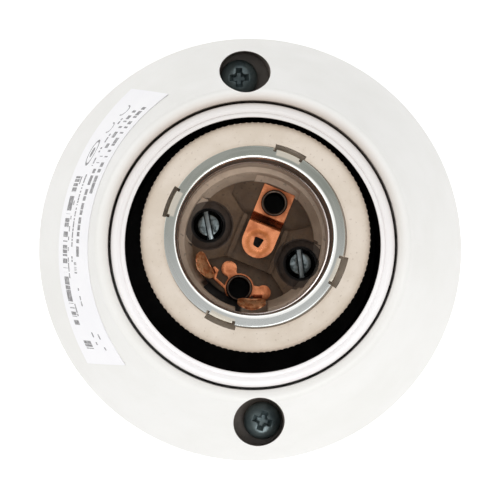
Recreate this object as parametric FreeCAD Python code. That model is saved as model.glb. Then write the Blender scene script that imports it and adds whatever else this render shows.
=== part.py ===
import FreeCAD, Part
import math
import os

# Swivel lamp holder for an Edison-screw reflector lamp, in millimetres.
# Origin: centre of the wall base's back face. +Z points out of the wall, towards the lamp.
# +Y is the top of the holder. The head turns about Z on the base and tilts about X on the arm.

# ---- heights along the axis ----
pivot_height = 30.0          # tilt axis above the wall
neck_length = 14.0           # tilt axis to the back of the rear shell
rear_depth = 20.5            # back of the rear shell to the joint with the bell
bell_height = 27.5           # joint to the bell's front lip

# ---- clearances ----
running_gap = 0.06           # turning shaft in its hole, on the radius
bolt_gap = 0.15              # fixed screw in a plain hole, on the radius
thread_gap = 0.02            # screw in the hole that it is driven into, on the radius
seat_gap = 0.10              # face beside a face that turns or is pulled up
fit_gap = 0.15               # one moulded piece inside another, on the radius

# ---- front bell ----
bell_flare = 10.5            # bell's lip to its rim, on the radius
bell_wall = 2.4
lip_gap = 0.5                # lamp gasket to the bell's mouth
lip_width = 2.4
lip_drop = 1.0               # from the top of the lip to where the cone starts
mouth_wall = 2.0
mouth_ledge_depth = 12.0     # front lip to the ledge that carries the lamp gasket
ledge_thickness = 2.0

# ---- cover screws and their wells ----
well_radius = 4.4
well_wall = 1.6
well_web = 1.27              # wall between a well and the mouth
well_angles = (92.3, -87.7)
cover_screw_shifts = ((0.85, -0.09), (0.82, 0.07))  # each screw sits off its well's centre, along and out
cover_screw_turns = (1.5, -18.0)
cover_head_radius = 3.3
cover_head_height = 2.5
cover_head_depth = 22.0      # front lip to the top of the heads
cover_shank_radius = 1.75
cover_screw_length = 16.0
cover_washer_thickness = 0.7
well_floor = 2.4
driver_arm = 3.9             # cross recess, tip to tip
driver_arm_width = 0.75
driver_depth = 1.5

# ---- rear shell ----
rear_wall = 2.5
rim_step = 0.7               # the rear shell's edge inside the bell's
rear_corner_height = 11.0
rear_flat_radius = 27.0
spigot_height = 3.0
spigot_wall = 1.6
cover_post_radius = 4.0
collar_wall = 1.3
wire_slot_margin = 0.6       # collar slot beside the gland
joint_gasket_thickness = 1.0
joint_gasket_inset = 0.2
rib_thickness = 1.4
web_height = 4.0             # gussets beside the hinge tongue

# ---- lamp gasket and inner sleeve ----
ceramic_gap = 2.36           # ceramic to the gasket's lip
ring_lip_width = 2.24        # lip that reaches in over the sleeve
ring_front_drop = 0.3        # below the front lip
ring_lip_height = 3.0
ring_wall = 0.9
ring_bead_width = 0.6        # thin bead along the lip's inner edge
sleeve_wall = 0.95
sleeve_bead = 1.15           # thickness of the bead at its front end
sleeve_depth = 24.0          # front lip to the foot of the sleeve
sleeve_web = 1.2             # web at the foot that closes the space round the ceramic

# ---- ceramic insert ----
insert_x = 0.45
insert_y = 1.35
insert_turn = 67.5           # direction of the contact line
ceramic_front_drop = 1.5     # below the front lip
ceramic_height = 35.0
ceramic_rim_wall = 3.3       # tab pockets to the outside of the head
ceramic_head_height = 6.0
ceramic_head_step = 1.1      # head proud of the body
socket_depth = 26.0          # ceramic front to the socket floor
socket_taper_height = 5.5
socket_taper_step = 1.0      # threaded shell to the top of the taper
socket_taper_run = 1.5
contact_pocket_depth = 2.0
pocket_outline = ((4.1, 4.2), (4.6, 5.1), (6.45, 7.7))  # corners of a contact pocket, from the contact line
screw_ledge_depth = 1.4
screw_ledge_radius = 4.2
screw_pocket_depth = 3.0
screw_pocket_radius = 3.05
strip_notch = (7.0, -4.4, 3.9)  # notch in the taper beside the centre contact: start and sides
leaf_recess_depth = 4.0
leaf_recess_width = 1.6
leaf_recess_angles = (155.0, 190.0)
ridge_offset = 3.9
ridge_length = 7.5
ridge_width = 0.8
ridge_height = 1.0
tab_pocket_margin = 0.8
tab_pocket_depth = 2.6
tab_angle = 20.0

# ---- threaded shell ----
shell_inner_radius = 13.3
shell_sheet = 0.4
shell_flange_width = 2.1
shell_tab_inset = 0.7
shell_mouth_roll = 0.8
shell_depth = 20.5
shell_tab_drop = 1.8
shell_foot_lip = 0.5          # lower edge turned in

# ---- contacts, eyelets and terminals ----
contact_sheet = 0.5
contact_width = 5.85
contact_end = -2.6           # rounded tip of the centre contact
contact_rise = 4.6           # contact pad above its pocket
contact_bend_start = 4.9
contact_step = 4.3           # where the strip passes the edge of the raised floor
contact_step_rise = 0.3
contact_bend_end = 3.6
contact_plate_end = 10.5
contact_line = -0.9          # line of both eyelets, beside the insert's middle
pad_place = 0.18             # hole in the contact pad
pad_hole = ((0.5, 0.6), (0.5, -0.5), (-0.65, -0.1), (-0.45, 0.4))
pad_hole_rounding = 0.32
pad_disc_radius = 1.55
pad_groove_radius = 2.4
pad_groove_depth = 0.15
centre_eyelet_place = 7.9
side_eyelet_place = -8.5
eyelet_radius = 2.05
eyelet_bore = 1.8
eyelet_rim = 2.35
eyelet_rim_height = 0.4
side_plate_radius = 2.6
side_tips = ((-5.97, 2.07, 1.38), (-7.6, -5.19, 1.3))
side_neck_half = 0.9
side_arm = ((-6.6, 4.6), (-7.6, 5.2), (-9.3, 4.2), (-10.6, -1.2), (-10.0, -3.5), (-8.8, -2.2), (-9.5, 0.2),
            (-8.4, 3.4), (-6.9, 3.6))
leaf_width = 5.2
leaf_rounding = 3.9          # radius of a leaf's rounded end
leaf_neck = (0.1, 2.5)       # sides of the short leaf's foot
free_leaf = (139.0, 2.2, 0.2, 6.0)    # direction, root inside the floor's edge, reach past it, height
spring_leaf_direction = 201.0         # of the leaf that rests on the shell's lower lip
spring_leaf_inset = 0.9       # its root inside the floor's edge
leaf_slot_margin = 0.3
terminal_plate = 0.8
terminal_width = 7.0
terminal_offset = 7.6        # wire clamp beside its eyelet
terminal_block_height = 5.6
terminal_wire_radius = 1.5
terminal_screw_radius = 1.3
terminal_head_radius = 2.2
terminal_head_height = 1.2
terminal_slot_width = 0.7

# ---- insert screws ----
insert_screw_offset = 8.875
insert_screw_middle = (-0.3, -0.455)  # point midway between the two screws
insert_screw_turns = (101.0, 97.0)
insert_head_radius = 2.6
insert_head_height = 2.0
insert_head_flat = 2.05
insert_shank_radius = 1.5
insert_screw_length = 12.0
insert_slot_width = 0.8
insert_slot_depth = 0.9
insert_post_radius = 3.5

# ---- cable gland ----
gland_place = -20.0          # along Y
gland_thread_radius = 5.9
gland_flange_across = 14.0
gland_flange_height = 3.5
gland_nut_height = 8.0
gland_nut_radius = 7.0
gland_bore = 4.6
cable_radius = 3.5
gland_seal_height = 6.0
gland_inside_length = 3.0

# ---- swivel arm and its hinge ----
tongue_half = 4.0
hinge_washer = 0.8
hinge_washer_radius = 7.0
ear_thickness = 4.5
knuckle_radius = 7.5
tilt_shaft_radius = 2.5
tilt_head_across = 8.0
tilt_head_height = 3.5
tilt_nut_height = 4.0
tilt_spring_thickness = 1.1
foot_radius = 15.0
foot_thickness = 4.5
turn_spigot_radius = 8.0
pan_screw_radius = 2.5
pan_head_radius = 4.4
pan_head_height = 1.5
pan_slot_width = 1.2
pan_slot_depth = 0.8
pan_washer_radius = 11.0
pan_washer_thickness = 1.2
pan_head_inset = 0.5          # wall to the pan screw's head, with the washer's end float
pan_screw_length = 9.0
stop_circle = 11.5
stop_radius = 1.0
stop_height = 1.6
stop_groove_half = 1.4
stop_web_angle = 9.0

# ---- wall base ----
base_radius = 35.0
base_edge_height = 4.0
base_wall = 2.5
hub_radius = 16.5
hub_height = 9.0
base_shoulder_radius = 24.0
rib_count = 6
wall_hole_spacing = 54.0
wall_slot_width = 5.0
wall_slot_length = 8.0
wall_boss_wall = 1.8

# ---- places worked out from the sizes ----
back_z = pivot_height + neck_length
joint_z = back_z + rear_depth
front_z = joint_z + bell_height
rear_floor_z = back_z + rear_wall
ceramic_front_z = front_z - ceramic_front_drop
ceramic_back_z = ceramic_front_z - ceramic_height
socket_floor_z = ceramic_front_z - socket_depth
contact_floor_z = socket_floor_z - contact_pocket_depth
screw_floor_z = socket_floor_z - screw_pocket_depth
cover_seat_z = front_z - cover_head_depth - cover_head_height
well_floor_z = cover_seat_z - cover_washer_thickness
sleeve_foot_z = front_z - sleeve_depth
screw_ledge_z = socket_floor_z - screw_ledge_depth
shell_outer_radius = shell_inner_radius + shell_sheet
shell_flange_radius = shell_inner_radius + shell_flange_width
shell_tab_radius = shell_flange_radius - shell_tab_inset
flange_seat_drop = shell_sheet + 0.2
tab_pocket_radius = shell_flange_radius + tab_pocket_margin
ceramic_head_radius = tab_pocket_radius + ceramic_rim_wall
ceramic_body_radius = ceramic_head_radius - ceramic_head_step
socket_taper_top = shell_inner_radius - socket_taper_step
socket_floor_radius = socket_taper_top - socket_taper_run
spring_leaf_root = socket_floor_radius - spring_leaf_inset
ring_inner_radius = ceramic_head_radius + ceramic_gap
ring_outer_radius = ring_inner_radius + ring_lip_width
lip_inner_radius = ring_outer_radius + lip_gap
lip_outer_radius = lip_inner_radius + lip_width
bell_rim_radius = lip_outer_radius + bell_flare
mouth_ledge_radius = ring_outer_radius - ring_wall
collar_inner_radius = mouth_ledge_radius - fit_gap - sleeve_bead
rear_joint_radius = bell_rim_radius - rim_step
well_circle = lip_inner_radius + well_web + well_radius
cone_slope = (bell_rim_radius - lip_outer_radius) / (bell_height - lip_drop)
cone_wall = bell_wall * math.sqrt(1 + cone_slope * cone_slope)
ear_inner = tongue_half + hinge_washer
ear_outer = ear_inner + ear_thickness
turn_stack_top = pan_head_height + pan_washer_thickness + pan_head_inset

AXIS = FreeCAD.Vector(0, 0, 1)


def well_centre(index):
    angle = math.radians(well_angles[index])
    return well_circle * math.cos(angle), well_circle * math.sin(angle)


def cover_screw_centre(index):
    """Each cover screw stands a little off the middle of its well."""
    angle = math.radians(well_angles[index])
    along, out = cover_screw_shifts[index]
    reach = well_circle + out
    x = reach * math.cos(angle) - along * math.sin(angle)
    y = reach * math.sin(angle) + along * math.cos(angle)
    return x, y


def insert_screw_centre(side):
    """In the insert's own axes."""
    x, y = insert_screw_middle
    return x, y + side * insert_screw_offset


def vec(x, y, z):
    return FreeCAD.Vector(x, y, z)


def rod(radius, z_low, z_high, x=0.0, y=0.0):
    return Part.makeCylinder(radius, z_high - z_low, vec(x, y, z_low))


def tube(outer, inner, z_low, z_high, x=0.0, y=0.0):
    return rod(outer, z_low, z_high, x, y).cut(rod(inner, z_low - 1, z_high + 1, x, y))


def box(x_low, x_high, y_low, y_high, z_low, z_high):
    return Part.makeBox(x_high - x_low, y_high - y_low, z_high - z_low, vec(x_low, y_low, z_low))


def revolved(start, *steps):
    """Turn a closed outline about Z. A step is a (radius, z) point, or a pair of them for an arc."""
    edges = []
    first = vec(start[0], 0, start[1])
    here = first
    for step in steps:
        if isinstance(step[0], tuple):
            middle = vec(step[0][0], 0, step[0][1])
            end = vec(step[1][0], 0, step[1][1])
            edges.append(Part.Arc(here, middle, end).toShape())
        else:
            end = vec(step[0], 0, step[1])
            edges.append(Part.LineSegment(here, end).toShape())
        here = end
    edges.append(Part.LineSegment(here, first).toShape())
    return Part.Face(Part.Wire(edges)).revolve(vec(0, 0, 0), AXIS, 360)


def moved(shape, x=0.0, y=0.0, z=0.0, turn=0.0):
    """Turn a copy about Z by an angle in degrees, then shift it."""
    copy = shape.copy()
    copy.rotate(vec(0, 0, 0), AXIS, turn)
    copy.translate(vec(x, y, z))
    return copy


def prism(points, z_low, z_high):
    """Upright prism on a polygon of (x, y) points."""
    corners = [vec(x, y, z_low) for x, y in points]
    return Part.Face(Part.makePolygon(corners + corners[:1])).extrude(vec(0, 0, z_high - z_low))


def hexagon(across, z_low, z_high, x=0.0, y=0.0, turn=0.0):
    corner = across / math.sqrt(3.0)
    points = []
    for step in range(6):
        angle = math.radians(60 * step + turn)
        points.append((x + corner * math.cos(angle), y + corner * math.sin(angle)))
    return prism(points, z_low, z_high)


def along_x(shape):
    """Lay a shape that was made upright at the origin along X, through the tilt axis."""
    copy = shape.copy()
    copy.rotate(vec(0, 0, 0), vec(0, 1, 0), 90)
    copy.translate(vec(0, 0, pivot_height))
    return copy


def in_insert(shape):
    """Move a shape from the insert's own axes, where X runs along the contact line."""
    return moved(shape, insert_x, insert_y, 0, insert_turn)


def on_contact_line(shape):
    """Move a shape whose X axis is the line of the two eyelets."""
    return in_insert(moved(shape, 0, contact_line))


def rounded_prism(points, rounding, z_low, z_high):
    """Upright prism on a polygon that is grown by a rounding all round."""
    corners = [vec(x, y, z_low) for x, y in points]
    outline = Part.makePolygon(corners + corners[:1]).makeOffset2D(rounding)
    return Part.Face(outline).extrude(vec(0, 0, z_high - z_low))


def fused(shapes):
    result = shapes[0]
    for shape in shapes[1:]:
        result = result.fuse(shape)
    return result.removeSplitter()


def save(name, shape):
    print(name, round(shape.Volume, 1), shape.isValid(), len(shape.Solids))
    shape.exportStep("parts/" + name + ".step")


# ---- wall base ----

def wall_slot(width, length, z_low, z_high, x):
    half = (length - width) / 2
    ends = [rod(width / 2, z_low, z_high, x + side * half) for side in (-1, 1)]
    middle = box(x - half, x + half, -width / 2, width / 2, z_low, z_high)
    return fused([middle] + ends)


def make_wall_base():
    """Hollow round foot with a hub for the arm, six ribs and two slotted screw holes."""
    crown = hub_height - 2.0
    body = revolved(
        (0, 0), (base_radius, 0), (base_radius, base_edge_height - 1.0),
        ((base_radius - 0.3, base_edge_height - 0.3), (base_radius - 1.0, base_edge_height)),
        (base_shoulder_radius, base_edge_height + 1.6), (hub_radius + 1.5, crown),
        ((hub_radius + 0.4, crown + 0.6), (hub_radius, hub_height)), (0, hub_height))
    hollow = revolved(
        (hub_radius - base_wall, -1), (base_radius - base_wall, -1),
        (base_radius - base_wall, base_edge_height - base_wall),
        (base_shoulder_radius, base_edge_height + 1.6 - base_wall),
        (hub_radius - base_wall, crown - base_wall))
    ribs = []
    for step in range(rib_count):
        half = rib_thickness / 2
        rib = box(hub_radius - base_wall - 1, base_radius - 1, -half, half, 0, hub_height)
        ribs.append(moved(rib, turn=360.0 / rib_count * (step + 0.5)))
    bosses = []
    slots = []
    for side in (-1, 1):
        x = side * wall_hole_spacing / 2
        bosses.append(wall_slot(wall_slot_width + 2 * wall_boss_wall, wall_slot_length + 2 * wall_boss_wall,
                                0, hub_height, x))
        slots.append(wall_slot(wall_slot_width, wall_slot_length, -1, hub_height + 1, x))
    solid = fused([body.cut(hollow)] + [piece.common(body) for piece in ribs + bosses])
    recess = rod(pan_washer_radius + 0.5, -1, turn_stack_top)
    bore = rod(turn_spigot_radius + running_gap, -1, hub_height + 1)
    peg = rod(stop_radius, hub_height - 1, hub_height + stop_height, 0, -stop_circle)
    for tool in slots + [recess, bore]:
        solid = solid.cut(tool)
    return solid.fuse(peg).removeSplitter()


# ---- swivel arm ----

def knuckle_plate(half_width, z_low, x_low, x_high):
    """Upright plate with a rounded end about the tilt axis."""
    leg = box(x_low, x_high, -half_width, half_width, min(z_low, pivot_height), max(z_low, pivot_height))
    end = along_x(rod(half_width, x_low, x_high))
    return leg.fuse(end).removeSplitter()


def make_swivel_arm():
    """Round foot that turns on the base, with a fork of two ears for the tilt hinge."""
    foot_top = hub_height + foot_thickness
    foot = revolved(
        (0, hub_height), (foot_radius, hub_height), (foot_radius, foot_top - 1.2),
        ((foot_radius - 0.4, foot_top - 0.4), (foot_radius - 1.2, foot_top)), (0, foot_top))
    spigot = rod(turn_spigot_radius, turn_stack_top - seat_gap, hub_height + 1)
    ears = []
    for side in (-1, 1):
        low, high = sorted((side * ear_inner, side * ear_outer))
        ears.append(knuckle_plate(knuckle_radius, hub_height + 1, low, high))
        gusset = Part.Face(Part.makePolygon([
            vec(side * (ear_outer - 1), 0, foot_top - 1), vec(side * (ear_outer + 4), 0, foot_top - 1),
            vec(side * (ear_outer - 1), 0, foot_top + 8), vec(side * (ear_outer - 1), 0, foot_top - 1)]))
        gusset = gusset.extrude(vec(0, rib_thickness * 2, 0))
        ears.append(moved(gusset, y=-rib_thickness))
    groove = tube(stop_circle + stop_groove_half, stop_circle - stop_groove_half,
                  hub_height - 1, hub_height + stop_height + 0.4)
    web_half = stop_circle * math.tan(math.radians(stop_web_angle / 2))
    web_top = hub_height + stop_height + 1
    web = box(-web_half, web_half, stop_circle - 3, stop_circle + 3, hub_height, web_top)
    solid = fused([foot, spigot] + ears)
    solid = solid.cut(groove.cut(web))
    solid = solid.cut(along_x(rod(tilt_shaft_radius + bolt_gap, -ear_outer - 1, ear_outer + 1)))
    screw_hole_top = turn_stack_top - seat_gap + pan_screw_length
    return solid.cut(rod(pan_screw_radius + thread_gap, 0, screw_hole_top))


def make_pan_washer():
    top = turn_stack_top - seat_gap
    return tube(pan_washer_radius, pan_screw_radius + bolt_gap, top - pan_washer_thickness, top)


def make_pan_screw():
    """Slotted pan-head screw, head down, driven into the arm's spigot from behind."""
    seat = turn_stack_top - seat_gap - pan_washer_thickness
    face = seat - pan_head_height
    reach = pan_head_radius
    head = revolved(
        (0, seat), (reach, seat), (reach, seat - pan_head_height * 0.6),
        ((reach * 0.93, seat - pan_head_height * 0.9), (reach * 0.8, face)), (0, face))
    shank = rod(pan_screw_radius, seat - 0.5, seat + pan_screw_length)
    half = pan_slot_width / 2
    slot = box(-reach, reach, -half, half, face - 1, face + pan_slot_depth)
    return head.fuse(shank).removeSplitter().cut(slot)


def make_tilt_bolt():
    """Hexagon bolt through both ears; its nut and spring washer are on the +X side."""
    length = 2 * ear_outer + tilt_spring_thickness + tilt_nut_height + 1.0
    head = hexagon(tilt_head_across, -ear_outer - tilt_head_height, -ear_outer)
    shank = rod(tilt_shaft_radius, -ear_outer - 0.5, length - ear_outer)
    tip_edges = [edge for edge in shank.Edges if edge.BoundBox.ZMin > length - ear_outer - 0.01]
    shank = shank.makeChamfer(0.5, tip_edges)
    return along_x(head.fuse(shank).removeSplitter())


def make_tilt_spring_washer():
    """Split spring washer."""
    top = ear_outer + tilt_spring_thickness
    ring = tube(tilt_shaft_radius * 1.8, tilt_shaft_radius + bolt_gap, ear_outer, top)
    split = box(0, tilt_shaft_radius * 3, -0.4, 0.4, ear_outer - 1, top + 1)
    return along_x(ring.cut(split))


def make_tilt_nut():
    low = ear_outer + tilt_spring_thickness
    nut = hexagon(tilt_head_across, low, low + tilt_nut_height)
    dome = rod(tilt_head_across * 0.56, low, low + tilt_nut_height)
    dome = dome.makeChamfer(0.6, [edge for edge in dome.Edges if edge.BoundBox.ZLength < 0.001])
    hole = rod(tilt_shaft_radius + thread_gap, low - 1, low + tilt_nut_height + 1)
    return along_x(nut.common(dome).cut(hole))


def make_hinge_washer(side):
    low, high = sorted((side * tongue_half, side * ear_inner))
    return along_x(tube(hinge_washer_radius, tilt_shaft_radius + bolt_gap, low, high))


# ---- rear shell ----

def rear_envelope(inset):
    """Solid bowl, drawn in by a wall thickness."""
    top = joint_z - joint_gasket_thickness
    edge = rear_joint_radius - inset
    flat = rear_flat_radius - inset * 0.5
    low = back_z + inset
    knee = (edge + (flat - edge) * 0.29, low + rear_corner_height * 0.29)
    return revolved((0, low), (flat, low), (knee, (edge, low + rear_corner_height)), (edge, top), (0, top))


def make_rear_shell():
    """Bowl behind the bell: tongue for the hinge, cable entry, collar, posts and a spigot."""
    top = joint_z - joint_gasket_thickness
    envelope = rear_envelope(0)
    shell = envelope.cut(rear_envelope(rear_wall)).fuse(
        tube(rear_joint_radius, rear_joint_radius - rear_wall, top - 2, top))
    spigot_inner = bell_rim_radius - cone_wall - spigot_height * cone_slope - spigot_wall
    spigot = bell_cone(joint_z - joint_gasket_thickness, cone_wall + fit_gap)
    spigot = spigot.common(tube(rear_joint_radius, spigot_inner, top - 1, joint_z + spigot_height))
    spigot = spigot.fuse(tube(rear_joint_radius - 0.5, spigot_inner, top - 3, top))
    for index in range(2):
        x, y = well_centre(index)
        spigot = spigot.cut(rod(well_radius + well_wall + 0.4, top, joint_z + spigot_height + 1, x, y))
    collar = tube(collar_inner_radius + collar_wall, collar_inner_radius, rear_floor_z - 1, sleeve_foot_z)
    wire_slot_half = gland_thread_radius + wire_slot_margin
    wire_slot = box(-wire_slot_half, wire_slot_half, -collar_inner_radius - collar_wall - 1, 0,
                    rear_floor_z, ceramic_back_z)
    collar = collar.cut(wire_slot)
    post_top = well_floor_z - well_floor - seat_gap
    posts = []
    for index in range(2):
        x, y = cover_screw_centre(index)
        low, high = sorted((y, math.copysign(rear_joint_radius, y)))
        root = box(x - cover_post_radius, x + cover_post_radius, low, high, rear_floor_z - 1, top)
        root = root.common(envelope)
        post = rod(cover_post_radius, rear_floor_z - 1, top, x, y).common(envelope)
        head = rod(cover_post_radius, top - 1, post_top, x, y).common(rod(spigot_inner, top - 1, post_top))
        posts.append(root.fuse(post).fuse(head))
    for side in (-1, 1):
        x, y = insert_screw_centre(side)
        posts.append(in_insert(rod(insert_post_radius, rear_floor_z - 1, ceramic_back_z, x, y)))
    tongue = knuckle_plate(knuckle_radius, back_z + 1, -tongue_half, tongue_half)
    reach = knuckle_radius * 2
    web = box(-rib_thickness, rib_thickness, -reach, reach, back_z - web_height, back_z)
    web = web.common(Part.makeCone(knuckle_radius, knuckle_radius + web_height, web_height,
                                   vec(0, 0, back_z - web_height)))
    solid = fused([shell, spigot, collar, tongue, web] + posts)
    for index in range(2):
        x, y = cover_screw_centre(index)
        screw_foot = cover_seat_z - cover_screw_length
        solid = solid.cut(rod(cover_shank_radius + thread_gap, screw_foot - 1, post_top + 1, x, y))
    for side in (-1, 1):
        x, y = insert_screw_centre(side)
        screw_foot = screw_floor_z - insert_screw_length
        hole = rod(insert_shank_radius + thread_gap, screw_foot - 0.5, ceramic_back_z + 1, x, y)
        solid = solid.cut(in_insert(hole))
    solid = solid.cut(rod(gland_thread_radius + bolt_gap, back_z - 1, rear_floor_z + 1, 0, gland_place))
    return solid.cut(along_x(rod(tilt_shaft_radius + running_gap, -tongue_half - 1, tongue_half + 1)))


def make_shell_gasket():
    """Flat sealing ring between the rear shell and the bell."""
    low = joint_z - joint_gasket_thickness
    inner = bell_rim_radius - cone_wall + joint_gasket_thickness * cone_slope
    return tube(rear_joint_radius - joint_gasket_inset, inner, low, joint_z)


# ---- front bell ----

def bell_cone(z_low, inset=0.0):
    """Solid under the bell's sloping outside, from a height up to the start of the lip."""
    high = front_z - lip_drop
    low_radius = bell_rim_radius - inset - (z_low - joint_z) * cone_slope
    return Part.makeCone(low_radius, lip_outer_radius - inset, high - z_low, vec(0, 0, z_low))


def make_front_bell():
    """Conical bell with a rounded lip, a mouth tube with a ledge and two deep screw wells."""
    tube_outer = lip_inner_radius + mouth_wall
    inner_start = front_z - lip_drop - (tube_outer + cone_wall - lip_outer_radius) / cone_slope
    bell = revolved(
        (lip_inner_radius, front_z - lip_drop),
        ((lip_inner_radius + lip_width * 0.42, front_z), (lip_outer_radius, front_z - lip_drop)),
        (bell_rim_radius, joint_z + 0.6),
        ((bell_rim_radius - 0.1, joint_z + 0.15), (bell_rim_radius - 0.6, joint_z)),
        (bell_rim_radius - cone_wall, joint_z), (tube_outer, inner_start),
        (tube_outer, front_z - mouth_ledge_depth - ledge_thickness),
        (mouth_ledge_radius, front_z - mouth_ledge_depth - ledge_thickness),
        (mouth_ledge_radius, front_z - mouth_ledge_depth), (lip_inner_radius, front_z - mouth_ledge_depth))
    envelope = bell_cone(joint_z, 0.3)
    keep_clear = rod(lip_inner_radius, joint_z - 1, front_z + 1)
    floor_low = well_floor_z - well_floor
    for index in range(2):
        x, y = well_centre(index)
        screw = cover_screw_centre(index)
        well = rod(well_radius + well_wall, floor_low, front_z - lip_drop, x, y)
        bell = bell.fuse(well.common(envelope).cut(keep_clear))
        bell = bell.cut(rod(well_radius, well_floor_z, front_z + 1, x, y))
        hole = rod(cover_shank_radius + bolt_gap, floor_low - 1, well_floor_z + 1, screw[0], screw[1])
        bell = bell.cut(hole)
    return bell.removeSplitter()


def make_cover_screw(index):
    """Long pan-head screw with a cross recess."""
    top = cover_seat_z + cover_head_height
    head = revolved(
        (0, cover_seat_z), (cover_head_radius, cover_seat_z), (cover_head_radius, cover_seat_z + 0.7),
        ((cover_head_radius * 0.83, top - 0.5), (cover_head_radius * 0.42, top)), (0, top))
    foot = cover_seat_z - cover_screw_length
    shank = rod(cover_shank_radius, foot + 2.0, cover_seat_z + 0.5)
    point = Part.makeCone(cover_shank_radius * 0.4, cover_shank_radius, 2.0, vec(0, 0, foot))
    screw = fused([head, shank, point])
    half = driver_arm / 2
    wide = driver_arm_width / 2
    for step in range(2):
        arm = box(-half, half, -wide, wide, top - driver_depth, top + 1)
        screw = screw.cut(moved(arm, turn=90.0 * step))
    x, y = cover_screw_centre(index)
    return moved(screw, x, y, 0, cover_screw_turns[index])


def make_screw_washer(index):
    """Rubber sealing washer under a cover screw's head."""
    x, y = cover_screw_centre(index)
    return tube(cover_head_radius, cover_shank_radius + bolt_gap, well_floor_z, cover_seat_z, x, y)


# ---- lamp gasket and inner sleeve ----

def make_lamp_gasket():
    """Soft ring in the bell's mouth: a rounded lip on a thin wall that stands on the ledge."""
    top = front_z - ring_front_drop
    foot = front_z - mouth_ledge_depth
    edge = ring_inner_radius + ring_bead_width
    return revolved(
        (ring_outer_radius, foot), (ring_outer_radius, top - 1.0),
        ((ring_outer_radius - 0.35, top - 0.3), (ring_outer_radius - 1.0, top)),
        (edge + 0.35, top - 0.15), ((edge + 0.15, top - 0.3), (edge, top - 0.5)),
        ((edge - ring_bead_width * 0.5, top - 0.2), (ring_inner_radius, top - 0.9)),
        (ring_inner_radius, top - ring_lip_height), (ring_outer_radius - ring_wall, top - ring_lip_height),
        (ring_outer_radius - ring_wall, foot))


def make_inner_sleeve():
    """Black tube from the collar up to the gasket's lip, with a web round the ceramic at its foot."""
    top = front_z - ring_front_drop - ring_lip_height
    inner = collar_inner_radius
    outer = mouth_ledge_radius - fit_gap
    thin = inner + sleeve_wall
    wall = revolved(
        (inner, sleeve_foot_z), (thin, sleeve_foot_z), (thin, top - 2.0), (outer, top - 1.4),
        ((outer - 0.2, top - 0.3), (outer - 0.6, top)), (inner + 0.3, top), (inner, top - 0.4))
    web_top = sleeve_foot_z + sleeve_web
    hole = rod(ceramic_body_radius + fit_gap, sleeve_foot_z - 1, web_top + 1, insert_x, insert_y)
    web = rod(thin, sleeve_foot_z, web_top).cut(hole)
    return wall.fuse(web).removeSplitter()


# ---- ceramic insert ----

def make_ceramic_body():
    """Fired insert: socket bore, tapered floor, contact pockets, screw wells and tab pockets."""
    top = ceramic_front_z
    back = ceramic_back_z
    shoulder = top - ceramic_head_height
    body = revolved(
        (0, back), (ceramic_body_radius - 1, back), (ceramic_body_radius, back + 1),
        (ceramic_body_radius, shoulder), (ceramic_head_radius, shoulder + 0.8),
        (ceramic_head_radius, top - 0.8),
        ((ceramic_head_radius - 0.25, top - 0.25), (ceramic_head_radius - 0.8, top)), (0, top))
    bore_radius = shell_outer_radius + fit_gap
    bore_foot = top - shell_depth - 0.5
    taper_top = socket_floor_z + socket_taper_height
    seat = rod(shell_flange_radius + fit_gap, top - flange_seat_drop, top + 1)
    bore = rod(bore_radius, bore_foot, top + 1)
    floor = vec(0, 0, socket_floor_z)
    taper = Part.makeCone(socket_floor_radius, socket_taper_top, socket_taper_height, floor)
    step = rod(socket_taper_top, taper_top - 0.5, bore_foot + 0.5)
    body = body.cut(fused([seat, bore, step, taper]))
    for tool in socket_floor_pockets():
        body = body.cut(tool)
    for side in (-1, 1):
        ridge = rod(ridge_width / 2, socket_floor_z - 1, socket_floor_z + ridge_height)
        bar = box(-ridge_length / 2, ridge_length / 2, -ridge_width / 2, ridge_width / 2,
                  socket_floor_z - 1, socket_floor_z + ridge_height)
        ridge = fused([bar, moved(ridge, -ridge_length / 2), moved(ridge, ridge_length / 2)])
        body = body.fuse(moved(ridge, 0, contact_line + side * ridge_offset))
    for step_number in range(4):
        ring = tube(tab_pocket_radius, shell_outer_radius - 0.5, top - tab_pocket_depth, top + 1)
        wedge = tab_wedge(tab_angle, tab_pocket_radius + 4, top - tab_pocket_depth - 1, top + 2)
        body = body.cut(moved(ring.common(wedge), turn=90.0 * step_number))
    return in_insert(body.removeSplitter())


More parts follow.
